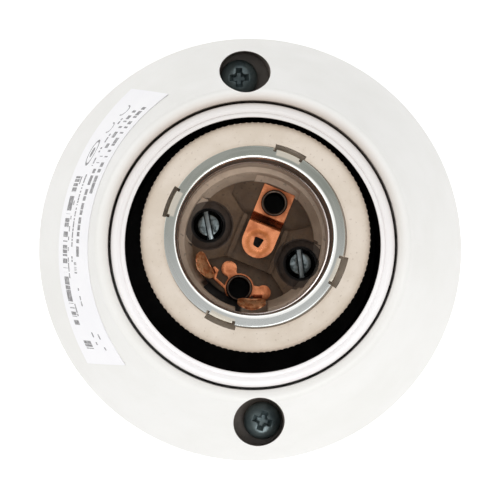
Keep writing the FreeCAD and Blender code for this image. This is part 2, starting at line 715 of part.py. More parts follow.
def socket_floor_pockets():
    """Tools that cut the floor: contact pockets, screw wells, notches for the leaves, eyelet holes."""
    taper_top = socket_floor_z + socket_taper_height
    reach = socket_taper_top
    inside_floor = rod(socket_floor_radius, contact_floor_z - 1, socket_floor_z + 2)
    inside_taper = rod(reach - 0.3, ceramic_back_z, taper_top)
    tools = []
    for side in (-1, 1):
        upper = [(side * x, y) for x, y in pocket_outline]
        lower = [(side * x, -y) for x, y in reversed(pocket_outline)]
        corner = pocket_outline[-1][1]
        outline = [(side * reach, -corner)] + lower + upper + [(side * reach, corner)]
        pocket = moved(prism(outline, contact_floor_z, socket_floor_z + 1), 0, contact_line)
        tools.append(pocket.common(inside_floor))
        x, y = insert_screw_centre(side)
        low, high = sorted((y, side * reach))
        wide = screw_ledge_radius
        ledge = rod(wide, screw_ledge_z, taper_top, x, y)
        ledge = ledge.fuse(box(x - wide, x + wide, low, high, screw_ledge_z, taper_top))
        tools.append(ledge.common(inside_taper))
        tools.append(rod(screw_pocket_radius, screw_floor_z, screw_ledge_z + 1, x, y))
        tools.append(rod(insert_shank_radius + bolt_gap, ceramic_back_z - 1, screw_floor_z + 1, x, y))
    start, low, high = strip_notch
    tools.append(box(start, reach, low, high, contact_floor_z, taper_top).common(inside_taper))
    low_angle, high_angle = leaf_recess_angles
    recess_floor = socket_floor_z - leaf_recess_depth
    recess = tube(reach - 0.3, reach - 0.3 - leaf_recess_width, recess_floor, taper_top)
    wedge = tab_wedge(high_angle - low_angle, reach + 4, ceramic_back_z, taper_top + 1)
    tools.append(recess.common(moved(wedge, turn=(low_angle + high_angle) / 2)))
    half = leaf_width / 2 + leaf_slot_margin
    slot = box(spring_leaf_root - 1, reach + leaf_slot_margin, -half, half, contact_floor_z, taper_top)
    tools.append(moved(slot, turn=spring_leaf_direction))
    for place in (centre_eyelet_place, side_eyelet_place):
        hole = rod(eyelet_radius + thread_gap, ceramic_back_z - 1, contact_floor_z + 1, place, contact_line)
        tools.append(hole)
    return tools


def tab_wedge(angle, radius, z_low, z_high):
    half = math.radians(angle / 2)
    edge = radius * math.tan(half)
    return prism([(0, 0), (radius, -edge), (radius, edge)], z_low, z_high)


def make_screw_shell():
    """Pressed sheet shell: rolled mouth, flat flange and four tabs bent down into their pockets."""
    top = ceramic_front_z
    seat = top - flange_seat_drop
    foot = top - shell_depth
    inner = shell_inner_radius
    outer = shell_outer_radius
    roll = shell_mouth_roll
    shell = revolved(
        (outer, foot), (outer, seat), (shell_flange_radius, seat), (shell_flange_radius, seat + shell_sheet),
        (inner + roll, seat + shell_sheet),
        ((inner + roll * 0.3, seat + shell_sheet - roll * 0.3), (inner, seat + shell_sheet - roll)),
        (inner, foot + 0.8), (inner - shell_foot_lip, foot), (inner - shell_foot_lip + shell_sheet, foot))
    for step_number in range(4):
        cut_ring = tube(shell_flange_radius + 1, shell_tab_radius - shell_sheet, seat - 1, top + 1)
        wedge = tab_wedge(tab_angle, shell_flange_radius + 6, seat - 2, top + 2)
        shell = shell.cut(moved(cut_ring.common(wedge), turn=90.0 * step_number))
        tab_inner = shell_tab_radius - shell_sheet
        tab = tube(shell_tab_radius, tab_inner, seat - shell_tab_drop, seat + shell_sheet)
        tab_side = tab_wedge(tab_angle - 4, shell_flange_radius + 6, seat - shell_tab_drop - 1, top + 2)
        bridge = tube(shell_tab_radius, inner + roll, seat, seat + shell_sheet).common(tab_side)
        shell = shell.fuse(moved(tab.common(tab_side).fuse(bridge), turn=90.0 * step_number))
    return in_insert(shell.removeSplitter())


# ---- contacts ----

def make_centre_contact():
    """Copper strip: plate under the eyelet, a bend, and a sprung pad with a dimpled disc."""
    low = contact_floor_z
    high = low + contact_rise
    sheet = contact_sheet
    half = contact_width / 2
    step_z = socket_floor_z + contact_step_rise
    side_outline = [
        (contact_plate_end, low), (contact_bend_start, low), (contact_step, step_z),
        (contact_bend_end - sheet * 0.2, high - sheet * 2), (contact_bend_end - sheet * 1.4, high - sheet),
        (contact_end, high - sheet), (contact_end, high), (contact_bend_end - sheet, high),
        (contact_bend_end + sheet * 0.6, high - sheet), (contact_step + sheet * 0.9, step_z + sheet * 0.2),
        (contact_bend_start + sheet * 0.8, low + sheet), (contact_plate_end, low + sheet)]
    corners = [vec(x, -half, z) for x, z in side_outline]
    strip = Part.Face(Part.makePolygon(corners + corners[:1])).extrude(vec(0, contact_width, 0))
    outline = fused([box(contact_end + half, contact_plate_end, -half, half, low - 1, high + 1),
                     rod(half, low - 1, high + 1, contact_end + half)])
    strip = strip.common(outline)
    strip = strip.cut(rod(eyelet_radius + thread_gap, low - 1, low + 2, centre_eyelet_place))
    groove = tube(pad_groove_radius, pad_disc_radius, high - pad_groove_depth, high + 1, pad_place)
    hole = rounded_prism(pad_hole, pad_hole_rounding, high - sheet - 1, high + 1)
    return on_contact_line(strip.cut(groove).cut(moved(hole, pad_place)).removeSplitter())


def make_side_contact():
    """Stamped copper plate round the second eyelet, with two fingers and two leaves bent up."""
    low = contact_floor_z
    top = low + contact_sheet
    x = side_eyelet_place
    y = contact_line
    parts = [rod(side_plate_radius, low, top, x, y), prism(side_arm, low, top)]
    for tip_x, tip_y, tip_radius in side_tips:
        parts.append(rod(tip_radius, low, top, tip_x, tip_y))
        length = math.hypot(tip_x - x, tip_y - y)
        side_x = -(tip_y - y) / length * side_neck_half
        side_y = (tip_x - x) / length * side_neck_half
        parts.append(prism([(x + side_x, y + side_y), (tip_x + side_x, tip_y + side_y),
                            (tip_x - side_x, tip_y - side_y), (x - side_x, y - side_y)], low, top))
    star = fused(parts).common(rod(socket_floor_radius - 0.2, low - 1, top + 1))
    direction, inset, overhang, height = free_leaf
    root = socket_floor_radius - inset
    star = star.fuse(bent_leaf(direction, root, socket_floor_radius + overhang, height, leaf_neck))
    full = (-leaf_width / 2, leaf_width / 2)
    spring_reach = shell_inner_radius - shell_foot_lip - seat_gap
    spring_height = ceramic_front_z - shell_depth + 0.6 - low
    star = star.fuse(bent_leaf(spring_leaf_direction, spring_leaf_root, spring_reach, spring_height, full))
    star = star.cut(rod(eyelet_radius + thread_gap, low - 1, top + 1, x, y))
    star = star.cut(rod(eyelet_rim + seat_gap, top, top + spring_height, x, y))
    return in_insert(star.removeSplitter())


def bent_leaf(direction, root, reach, height, neck):
    """Leaf that stands on the contact plate and leans outwards, narrow up to the raised floor."""
    low = contact_floor_z
    thin = contact_sheet * 0.8
    foot = root - thin * 2
    outline = [(foot, low), (root, low), (reach, low + height), (reach - thin, low + height),
               (root - thin, low + contact_sheet), (foot, low + contact_sheet)]
    half = leaf_width / 2
    corners = [vec(x, -half, z) for x, z in outline]
    leaf = Part.Face(Part.makePolygon(corners + corners[:1])).extrude(vec(0, leaf_width, 0))
    neck_top = socket_floor_z + contact_sheet
    shape = rod(leaf_rounding, neck_top - 0.1, low + height + 1, reach - leaf_rounding)
    shape = shape.fuse(box(root - 3, reach + 1, neck[0], neck[1], low - 1, neck_top))
    return moved(leaf.common(shape), turn=direction)


def make_eyelet(place):
    """Hollow rivet through a contact, the ceramic and a terminal, with a rolled rim at each end."""
    high = contact_floor_z + contact_sheet
    low = ceramic_back_z - terminal_plate
    rim = eyelet_rim_height
    crown = (eyelet_bore + eyelet_rim) / 2
    profile = revolved(
        (eyelet_bore, low - rim * 0.5), (eyelet_bore + 0.2, low - rim), (eyelet_rim, low - rim * 0.6),
        (eyelet_rim, low), (eyelet_radius, low), (eyelet_radius, high), (eyelet_rim, high),
        ((eyelet_rim - 0.05, high + rim * 0.7), (crown, high + rim)),
        ((eyelet_bore + 0.05, high + rim * 0.7), (eyelet_bore, high)))
    return on_contact_line(moved(profile, place))


def make_terminal(place, side):
    """Brass plate riveted to the ceramic, with a block that has a wire hole and a screw hole."""
    high = ceramic_back_z
    low = high - terminal_plate
    foot = low - terminal_block_height
    half = terminal_width / 2
    near, far = sorted((-side * half, side * (terminal_offset + half)))
    plate = box(place - half, place + half, near, far, low, high)
    centre = side * terminal_offset
    block = box(place - half, place + half, centre - half, centre + half, foot, low)
    wire_start = vec(place - half - 1, centre, low - terminal_block_height / 2)
    wire = Part.makeCylinder(terminal_wire_radius, terminal_width + 2, wire_start, vec(1, 0, 0))
    body = plate.fuse(block).removeSplitter().cut(wire)
    body = body.cut(rod(eyelet_radius + thread_gap, low - 1, high + 1, place))
    middle = low - terminal_block_height / 2
    screw_hole = rod(terminal_screw_radius + thread_gap, foot - 1, middle, place, centre)
    return on_contact_line(body.cut(screw_hole))


def make_terminal_screw(place, side):
    """Slotted screw that clamps a wire in its terminal."""
    seat = ceramic_back_z - terminal_plate - terminal_block_height
    foot = seat - terminal_head_height
    centre = side * terminal_offset
    head = rod(terminal_head_radius, foot, seat, place, centre)
    tip = seat + terminal_block_height / 2 - terminal_wire_radius * 0.5
    shank = rod(terminal_screw_radius, seat - 0.2, tip, place, centre)
    reach = terminal_head_radius + 1
    slot_half = terminal_slot_width / 2
    slot = box(place - reach, place + reach, centre - slot_half, centre + slot_half, foot - 1, foot + 0.5)
    return on_contact_line(head.fuse(shank).removeSplitter().cut(slot))


def make_insert_screw(side, turn):
    """Slotted screw with a low domed head that holds the ceramic down on its post."""
    seat = screw_floor_z
    top = seat + insert_head_height
    head = revolved(
        (0, seat), (insert_head_radius, seat), (insert_head_radius, top - 0.9),
        ((insert_head_radius - 0.15, top - 0.3), (insert_head_flat, top)), (0, top))
    shank = rod(insert_shank_radius, seat - insert_screw_length, seat + 0.3)
    reach = insert_head_radius + 1
    half = insert_slot_width / 2
    slot = box(-reach, reach, -half, half, top - insert_slot_depth, top + 1)
    screw = head.fuse(shank).removeSplitter().cut(moved(slot, turn=turn - insert_turn))
    x, y = insert_screw_centre(side)
    return in_insert(moved(screw, x, y))


# ---- cable gland ----

def make_gland_body():
    """Threaded sleeve through the rear shell with a hexagon flange outside it."""
    nut_low = back_z - gland_flange_height - gland_nut_height
    sleeve = rod(gland_thread_radius, nut_low + 2.0, rear_floor_z + gland_inside_length, 0, gland_place)
    flange = hexagon(gland_flange_across, back_z - gland_flange_height, back_z, 0, gland_place)
    bore = rod(gland_bore, nut_low - 1, rear_floor_z + gland_inside_length + 1, 0, gland_place)
    return sleeve.fuse(flange).removeSplitter().cut(bore)


def make_gland_nut():
    """Domed clamping nut with grip flats over the outer end of the gland."""
    high = back_z - gland_flange_height - seat_gap
    low = back_z - gland_flange_height - gland_nut_height
    reach = gland_nut_radius
    dome = revolved(
        (0, low), (reach - 2.2, low), ((reach - 0.7, low + 0.8), (reach, low + 3.0)),
        (reach, high), (0, high))
    dome = moved(dome, 0, gland_place)
    flats = hexagon(gland_nut_radius * 2 - 0.9, low - 1, high + 1, 0, gland_place)
    inside = rod(gland_thread_radius + thread_gap, low + 2.0, high + 1, 0, gland_place)
    mouth = rod(cable_radius + 0.4, low - 1, high, 0, gland_place)
    return dome.common(flats).cut(inside).cut(mouth)


def make_gland_seal():
    """Rubber bush that the nut squeezes on to the cable."""
    low = back_z - gland_flange_height - gland_nut_height + 2.0
    return tube(gland_bore - thread_gap, cable_radius, low, low + gland_seal_height, 0, gland_place)


def build():
    save("wall_base", make_wall_base())
    save("swivel_arm", make_swivel_arm())
    save("pan_washer", make_pan_washer())
    save("pan_screw", make_pan_screw())
    save("tilt_bolt", make_tilt_bolt())
    save("tilt_spring_washer", make_tilt_spring_washer())
    save("tilt_nut", make_tilt_nut())
    for side, name in ((-1, "left"), (1, "right")):
        save("hinge_washer_" + name, make_hinge_washer(side))
    save("rear_shell", make_rear_shell())
    save("shell_gasket", make_shell_gasket())
    save("front_bell", make_front_bell())
    for index, name in enumerate(("top", "bottom")):
        save("cover_screw_" + name, make_cover_screw(index))
        save("screw_washer_" + name, make_screw_washer(index))
    save("lamp_gasket", make_lamp_gasket())
    save("inner_sleeve", make_inner_sleeve())
    save("ceramic_body", make_ceramic_body())
    save("screw_shell", make_screw_shell())
    save("centre_contact", make_centre_contact())
    save("side_contact", make_side_contact())
    save("centre_eyelet", make_eyelet(centre_eyelet_place))
    save("side_eyelet", make_eyelet(side_eyelet_place))
    save("centre_terminal", make_terminal(centre_eyelet_place, 1))
    save("side_terminal", make_terminal(side_eyelet_place, -1))
    save("centre_terminal_screw", make_terminal_screw(centre_eyelet_place, 1))
    save("side_terminal_screw", make_terminal_screw(side_eyelet_place, -1))
    for side, name, turn in ((1, "left", insert_screw_turns[0]), (-1, "right", insert_screw_turns[1])):
        save("insert_screw_" + name, make_insert_screw(side, turn))
    save("gland_body", make_gland_body())
    save("gland_seal", make_gland_seal())
    save("gland_nut", make_gland_nut())


build()
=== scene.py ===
import math

import bmesh
import bpy
from mathutils import Matrix, Vector


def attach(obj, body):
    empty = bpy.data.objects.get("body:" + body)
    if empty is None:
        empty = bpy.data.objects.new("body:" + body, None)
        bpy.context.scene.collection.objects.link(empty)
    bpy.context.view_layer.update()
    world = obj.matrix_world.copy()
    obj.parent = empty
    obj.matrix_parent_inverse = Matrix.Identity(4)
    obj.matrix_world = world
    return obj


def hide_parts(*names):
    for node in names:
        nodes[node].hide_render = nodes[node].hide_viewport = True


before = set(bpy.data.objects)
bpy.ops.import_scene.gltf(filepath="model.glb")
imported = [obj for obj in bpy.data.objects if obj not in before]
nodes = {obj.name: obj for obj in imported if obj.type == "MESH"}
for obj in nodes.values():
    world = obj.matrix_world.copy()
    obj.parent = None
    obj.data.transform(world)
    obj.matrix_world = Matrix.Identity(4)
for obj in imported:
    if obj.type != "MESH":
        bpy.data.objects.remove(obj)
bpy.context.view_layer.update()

MM = 0.001

# ---- places on the holder, in millimetres and degrees ----
FRONT_Z = 92.0                              # front lip of the bell
LIP_R, LIP_DROP = 27.0, 1.0
BELL_RIM_R, BELL_EDGE_Z = 37.5, 65.1        # wide edge of the bell, where its slope starts
WELLS = ((-1.21, 30.25), (1.21, -30.25))    # axes of the two screw wells
WELL_R = 4.4
INSERT_X, INSERT_Y = 0.45, 1.35             # axis of the ceramic insert
INSERT_TURN = 67.5                          # direction of the contact line, and of the first tab
CERAMIC_Z, CERAMIC_R = 90.5, 19.5           # front face and edge of the ceramic
CONTACT_FLOOR_Z = 62.5
RECESS_TURN = (-144.0, -98.0)               # the leaf's recess in the wall
SHELL_SHIFT = (-0.2, 0.14)                  # the shell sits a little off the ceramic's axis
LEDGE_Z = 78.8                              # where the shell steps in, part way down

# ---- places on the insert's own axes, where X runs along the contact line ----
CONTACT_LINE_Y = -0.9
PAD_HOLE_X = 0.18                           # middle of the contact pad's dimple
STRIP_EYELET_X, SIDE_EYELET_X = 7.9, -8.5
EYELET_HOLE_R = 2.07
SCREW_X = -0.3
LEFT_SCREW_Y, RIGHT_SCREW_Y = 8.42, -9.33


def on_holder(x, y):
    """A place on the insert's own axes, as a place on the holder."""
    turn = math.radians(INSERT_TURN)
    return (INSERT_X + x * math.cos(turn) - y * math.sin(turn),
            INSERT_Y + x * math.sin(turn) + y * math.cos(turn))


# ------------------------------------------------------------------ shaping

def object_mode():
    if bpy.context.object and bpy.context.object.mode != "OBJECT":
        bpy.ops.object.mode_set(mode="OBJECT")


def only(piece):
    """Leave nothing selected but this piece."""
    object_mode()
    bpy.ops.object.select_all(action="DESELECT")
    piece.select_set(True)
    bpy.context.view_layer.objects.active = piece


def primitive(kind, name, **sizes):
    """Start a piece from one of the mesh primitives."""
    object_mode()
    bpy.ops.object.select_all(action="DESELECT")
    getattr(bpy.ops.mesh, "primitive_" + kind + "_add")(**sizes)
    piece = bpy.context.object
    piece.name = name
    piece.data.name = name
    return piece


def edit(piece, select="SELECT"):
    """Edit mode, with everything or nothing selected."""
    only(piece)
    bpy.ops.object.mode_set(mode="EDIT")
    bpy.ops.mesh.select_mode(type="VERT")
    bpy.ops.mesh.select_all(action=select)


def pick(piece, kind, test):
    """Edit mode, with only the faces or edges selected that pass a test."""
    edit(piece, "DESELECT")
    bpy.ops.mesh.select_mode(type=kind)
    mesh = bmesh.from_edit_mesh(piece.data)
    for part in mesh.faces if kind == "FACE" else mesh.edges:
        part.select_set(test(part))
    bmesh.update_edit_mesh(piece.data)


def press(piece, move):
    """Move each vertex to where a forming tool would leave it."""
    object_mode()
    for point in piece.data.vertices:
        point.co = move(point.co)
    piece.data.update()


def cleaned(piece, gap=0.002):
    """Merge doubles and turn the faces outwards."""
    edit(piece)
    bpy.ops.mesh.remove_doubles(threshold=gap * MM)
    bpy.ops.mesh.dissolve_degenerate(threshold=gap * MM)
    bpy.ops.mesh.select_all(action="SELECT")
    bpy.ops.mesh.normals_make_consistent(inside=False)
    object_mode()


def applied(piece, kind, **values):
    """Add a modifier and apply it."""
    only(piece)
    modifier = piece.modifiers.new(kind.lower(), kind)
    for key, value in values.items():
        setattr(modifier, key, value)
    bpy.ops.object.modifier_apply(modifier=modifier.name)


def joined(pieces, name):
    only(pieces[0])
    for piece in pieces:
        piece.select_set(True)
    bpy.ops.object.join()
    piece = bpy.context.object
    piece.name = name
    piece.data.name = name
    return piece


def combined(piece, tool, how="DIFFERENCE"):
    """Cut a tool out of a piece, or unite or intersect the two, and throw the tool away."""
    applied(piece, "BOOLEAN", object=tool, operation=how, solver="EXACT")
    bpy.data.objects.remove(tool, do_unlink=True)


def copied(piece, name):
    """A second piece of the same shape, with its own mesh."""
    copy = bpy.data.objects.new(name, piece.data.copy())
    bpy.context.scene.collection.objects.link(copy)
    return copy


def placed(piece, x=0.0, y=0.0, z=0.0, turn=0.0):
    """Turn a piece about Z, in degrees, and shift it, in its mesh."""
    shift = Matrix.Translation((x * MM, y * MM, z * MM))
    piece.data.transform(shift @ Matrix.Rotation(math.radians(turn), 4, "Z"))
    piece.data.update()
    return piece


def in_insert(piece):
    """Move a piece from the insert's own axes, where X runs along the contact line."""
    return placed(piece, INSERT_X, INSERT_Y, 0, INSERT_TURN)


def eased(value, low, high):
    """0 below low, 1 above high, and a smooth rise between."""
    part = min(1.0, max(0.0, (value - low) / (high - low)))
    return part * part * (3 - 2 * part)


def smooth(piece, angle=35.0):
    only(piece)
    bpy.ops.object.shade_smooth_by_angle(angle=math.radians(angle))


def settled(piece):
    """Put the piece's own place into its mesh."""
    only(piece)
    bpy.ops.object.transform_apply(location=True, rotation=True, scale=True)
    return piece


def turned(name, points, steps, closed=True):
    """A turned shape: an outline of (radius, height) points spun about Z."""
    piece = settled(primitive("circle", name, vertices=len(points), radius=MM))
    for vertex, (radius, height) in zip(piece.data.vertices, points):
        vertex.co = (radius * MM, 0, height * MM)
    if not closed:
        ends = {0, len(points) - 1}
        pick(piece, "EDGE", lambda edge: {vertex.index for vertex in edge.verts} == ends)
        bpy.ops.mesh.delete(type="EDGE")
    edit(piece)
    bpy.ops.mesh.spin(steps=steps, angle=2 * math.pi, center=(0, 0, 0), axis=(0, 0, 1))
    cleaned(piece)
    return piece


# ------------------------------------------------------------------ shared effects

class Wires:
    """Short ways to add nodes to one tree and join them up."""

    def __init__(self, tree):
        self.tree = tree

    def node(self, kind, **values):
        node = self.tree.nodes.new("ShaderNode" + kind)
        for key, value in values.items():
            setattr(node, key, value)
        return node

    def link(self, start, end):
        self.tree.links.new(start, end)

    def feed(self, socket, value):
        if isinstance(value, bpy.types.NodeSocket):
            self.link(value, socket)
        else:
            socket.default_value = value

    def math(self, operation, a, b=0.0, clamp=False):
        node = self.node("Math", operation=operation, use_clamp=clamp)
        self.feed(node.inputs[0], a)
        self.feed(node.inputs[1], b)
        return node.outputs[0]

    def times(self, a, b):
        return self.math("MULTIPLY", a, b)

    def ramp(self, value, low, high, start=0.0, end=1.0):
        """Value from low..high to start..end, smoothed and held at the ends."""
        node = self.node("MapRange", interpolation_type="SMOOTHSTEP", clamp=True)
        for socket, number in zip(node.inputs, (value, low, high, start, end)):
            self.feed(socket, number)
        return node.outputs[0]

    def ramp_mm(self, value, low, high, start=0.0, end=1.0):
        """The same for a length, with low and high in millimetres."""
        return self.ramp(value, low * MM, high * MM, start, end)

    def band_mm(self, value, rise, full, fall, end):
        """A length's band: from 0 at rise to 1 at full, and from 1 at fall to 0 at its end."""
        return self.times(self.ramp_mm(value, rise, full), self.ramp_mm(value, fall, end, 1.0, 0.0))

    def mix(self, factor, a, b):
        node = self.node("Mix", data_type="RGBA")
        for index, value in ((0, factor), (6, a), (7, b)):
            self.feed(node.inputs[index], value)
        return node.outputs[2]

    def split(self, vector):
        """The X, Y and Z parts of a vector."""
        node = self.node("SeparateXYZ")
        self.link(vector, node.inputs[0])
        return node.outputs

    def noise(self, place, scale, detail, roughness, distortion=0.0):
        node = self.node("TexNoise")
        for key, value in (("Vector", place), ("Scale", scale), ("Detail", detail), ("Roughness", roughness),
                           ("Distortion", distortion)):
            self.feed(node.inputs[key], value)
        return node.outputs["Fac"]

    def bump(self, height, strength, distance, normal=None):
        node = self.node("Bump")
        for key, value in (("Height", height), ("Strength", strength), ("Distance", distance)):
            self.feed(node.inputs[key], value)
        if normal:
            self.link(normal, node.inputs["Normal"])
        return node.outputs["Normal"]

    def group(self, tree, **values):
        node = self.tree.nodes.new("ShaderNodeGroup")
        node.node_tree = tree
        for key, value in values.items():
            self.feed(node.inputs[key.replace("_", " ")], value)
        return node.outputs

    def coat(self, bsdf, colour, surface):
        """Join a colour, and a surface's roughness and normal, to a shader."""
        for key, value in (("Base Color", colour), ("Roughness", surface["Roughness"]),
                           ("Normal", surface["Normal"])):
            self.link(value, bsdf.inputs[key])


PLACE = ("Place", "Vector", None)
TURN_LENGTH = 0.002         # of the round place's X for each radian round the axis


def new_group(name, inputs, outputs):
    """An empty node group, its wires and its sockets. A socket is (name, kind, default)."""
    group = bpy.data.node_groups.new(name, "ShaderNodeTree")
    for side, sockets in (("INPUT", inputs), ("OUTPUT", outputs)):
        for label, kind, default in sockets:
            socket = group.interface.new_socket(name=label, in_out=side, socket_type="NodeSocket" + kind)
            if default is not None:
                socket.default_value = default
    given, result = group.nodes.new("NodeGroupInput"), group.nodes.new("NodeGroupOutput")
    return group, Wires(group), given.outputs, result.inputs


def mottle_group():
    """Two tones of one stuff in soft clouds, with small specks of a third."""
    group, w, given, result = new_group(
        "soft mottle",
        (PLACE, ("Tone A", "Color", (0.8, 0.8, 0.8, 1)), ("Tone B", "Color", (0.7, 0.7, 0.7, 1)),
         ("Speck", "Color", (0.3, 0.3, 0.3, 1)), ("Cloud Scale", "Float", 60.0),
         ("Speck Scale", "Float", 900.0), ("Speck Amount", "Float", 0.2)),
        (("Color", "Color", None),))
    clouds = w.ramp(w.noise(given["Place"], given["Cloud Scale"], 4.0, 0.6), 0.35, 0.65)
    tone = w.mix(clouds, given["Tone A"], given["Tone B"])
    fine = w.noise(given["Place"], given["Speck Scale"], 1.0, 0.4)
    specks = w.times(w.ramp(fine, 0.66, 0.74), given["Speck Amount"])
    w.link(w.mix(specks, tone, given["Speck"]), result["Color"])
    return group


def skin_group():
    """Moulded or fired skin: fine bumps, and gloss that varies a little."""
    group, w, given, result = new_group(
        "fine skin",
        (PLACE, ("Grain Scale", "Float", 1500.0), ("Grain Depth", "Float", 0.1),
         ("Wave Scale", "Float", 120.0), ("Wave Depth", "Float", 0.1),
         ("Rough Low", "Float", 0.35), ("Rough High", "Float", 0.5)),
        (("Roughness", "Float", None), ("Normal", "Vector", None)))
    grain = w.noise(given["Place"], given["Grain Scale"], 2.0, 0.6)
    wave = w.noise(given["Place"], given["Wave Scale"], 2.0, 0.5)
    fine = w.bump(grain, given["Grain Depth"], 0.08 * MM)
    w.link(w.bump(wave, given["Wave Depth"], 0.8 * MM, fine), result["Normal"])
    gloss = w.noise(given["Place"], w.times(given["Wave Scale"], 2.3), 4.0, 0.65)
    w.link(w.ramp(gloss, 0.3, 0.7, given["Rough Low"], given["Rough High"]), result["Roughness"])
    return group


def round_place_group():
    """Distance from an upright axis, height, and place measured round that axis."""
    group, w, given, result = new_group(
        "round place", (PLACE, ("Axis", "Vector", (0, 0, 0))),
        (("Radius", "Float", None), ("Height", "Float", None), ("Around", "Vector", None)))
    away = w.node("VectorMath", operation="SUBTRACT")
    w.link(given["Place"], away.inputs[0])
    w.link(given["Axis"], away.inputs[1])
    x, y, height = w.split(away.outputs[0])
    radius = w.math("SQRT", w.math("ADD", w.times(x, x), w.times(y, y)))
    around = w.node("CombineXYZ")
    turn = w.times(w.math("ARCTAN2", y, x), TURN_LENGTH)
    for socket, value in zip(around.inputs, (turn, radius, height)):
        w.link(value, socket)
    for key, value in (("Radius", radius), ("Height", height), ("Around", around.outputs[0])):
        w.link(value, result[key])
    return group


def worn_metal_group():
    """Metal with a clean tone, a tarnished tone and fine scratches."""
    group, w, given, result = new_group(
        "worn metal",
        (PLACE, ("Clean", "Color", (0.6, 0.6, 0.6, 1)), ("Tarnish", "Color", (0.3, 0.3, 0.3, 1)),
         ("Tarnish Amount", "Float", 0.5), ("Patch Scale", "Float", 250.0),
         ("Scratch Scale", "Float", 2500.0), ("Scratch Depth", "Float", 0.15),
         ("Rough Low", "Float", 0.2), ("Rough High", "Float", 0.4)),
        (("Color", "Color", None), ("Roughness", "Float", None), ("Normal", "Vector", None)))
    patch = w.ramp(w.noise(given["Place"], given["Patch Scale"], 5.0, 0.62, 0.3), 0.38, 0.68)
    amount = w.math("MULTIPLY", patch, given["Tarnish Amount"], clamp=True)
    w.link(w.mix(amount, given["Clean"], given["Tarnish"]), result["Color"])
    w.link(w.ramp(patch, 0.0, 1.0, given["Rough Low"], given["Rough High"]), result["Roughness"])
    scratches = w.noise(given["Place"], given["Scratch Scale"], 2.0, 0.7)
    w.link(w.bump(scratches, given["Scratch Depth"], 0.05 * MM), result["Normal"])
    return group


MOTTLE = mottle_group()
SKIN = skin_group()
ROUND_PLACE = round_place_group()
WORN_METAL = worn_metal_group()


# ------------------------------------------------------------------ materials

def rgb(red, green, blue):
    """A colour as it looks on a screen, 0 to 255, as linear values."""
    def linear(value):
        value /= 255.0
        return value / 12.92 if value <= 0.04045 else ((value + 0.055) / 1.055) ** 2.4
    return (linear(red), linear(green), linear(blue), 1.0)


def new_material(name, **shader):
    """A material with its shader's plain values set on the shader itself."""
    material = bpy.data.materials.new(name)
    material.use_nodes = True
    tree = material.node_tree
    bsdf = tree.nodes["Principled BSDF"]
    for key, value in shader.items():
        bsdf.inputs[key.replace("_", " ")].default_value = value
    w = Wires(tree)
    place = w.node("TexCoord").outputs["Object"]
    return material, w, bsdf, place


def mottled(w, place, tone_a, tone_b, speck, clouds=45.0, specks=1400.0, amount=0.05):
    """Colour of one stuff, from three tones as they look on a screen."""
    return w.group(MOTTLE, Place=place, Tone_A=rgb(*tone_a), Tone_B=rgb(*tone_b), Speck=rgb(*speck),
                   Cloud_Scale=clouds, Speck_Scale=specks, Speck_Amount=amount)["Color"]


def skin(w, place, rough, grain, wave, grain_scale=2200.0, wave_scale=90.0):
    return w.group(SKIN, Place=place, Grain_Scale=grain_scale, Grain_Depth=grain, Wave_Scale=wave_scale,
                   Wave_Depth=wave, Rough_Low=rough[0], Rough_High=rough[1])


def worn_metal(w, place, clean, tarnish, amount, rough, patch=250.0, scratch=0.15, scratch_scale=2500.0):
    return w.group(WORN_METAL, Place=place, Clean=rgb(*clean), Tarnish=rgb(*tarnish), Tarnish_Amount=amount,
                   Patch_Scale=patch, Scratch_Scale=scratch_scale, Scratch_Depth=scratch, Rough_Low=rough[0],
                   Rough_High=rough[1])


def about(w, place, x=0.0, y=0.0):
    """Radius, height and place round an upright axis, which is given in millimetres."""
    return w.group(ROUND_PLACE, Place=place, Axis=(x * MM, y * MM, 0))


def turn_about(w, around):
    """Angle round the axis, in radians."""
    return w.math("DIVIDE", w.split(around["Around"])[0], TURN_LENGTH)


def moulding(name, tone_a, tone_b, speck, rough=(0.34, 0.46), grain=0.12, wave=0.08, specks=0.05, marks=None,
             **shader):
    """Moulded plastic or rubber. Marks is a function that changes the colour from place to place."""
    material, w, bsdf, place = new_material(name, **shader)
    colour = mottled(w, place, tone_a, tone_b, speck, amount=specks)
    if marks:
        colour = marks(w, place, colour)
    w.coat(bsdf, colour, skin(w, place, rough, grain, wave))
    return material


def metal(name, clean, tarnish, amount, rough, metallic=1.0):
    """Plain or plated metal."""
    material, w, bsdf, place = new_material(name, Metallic=metallic)
    worn = worn_metal(w, place, clean, tarnish, amount, rough)
    w.coat(bsdf, worn["Color"], worn)
    return material


def upper_side_shade(w, place, colour):
    """Painted shade: the soft ring is a little darker and warmer on its upper side."""
    return w.mix(w.ramp_mm(w.split(place)[1], -18.0, 22.0, 0.0, 0.9), colour, rgb(229, 225, 222))


def chamber_painted_shade(w, place, colour):
    """Painted shade: the closed wiring chamber inside the rear shell is painted dark, as it is unlit."""
    around = about(w, place)
    within = w.ramp_mm(around["Radius"], 21.0, 21.8, 1.0, 0.0)
    above = w.ramp_mm(around["Height"], 46.3, 46.45)
    return w.mix(w.times(within, above), colour, rgb(52, 46, 42))


def bell_painted_shade(w, place, colour):
    """Painted shade: the bell goes grey-brown down the screw wells, and a little darker and warmer by the
    mouth, more on its upper side.
    """
    well_shade_tone = mottled(w, place, (134, 125, 116), (114, 105, 97), (80, 72, 66), 240.0, amount=0.2)
    # painted shade down each screw well
    for well_x, well_y in WELLS:
        inside = w.math("LESS_THAN", about(w, place, well_x, well_y)["Radius"], (WELL_R + 0.03) * MM)
        colour = w.mix(inside, colour, well_shade_tone)
    # painted shade by the mouth, stronger on the upper side
    mouth_shade = w.ramp_mm(about(w, place)["Radius"], 24.6, 26.4, 1.0, 0.0)
    side = w.ramp_mm(w.split(place)[1], -12.0, 24.0, 0.1, 0.8)
    return w.mix(w.times(mouth_shade, side), colour, rgb(192, 178, 166))


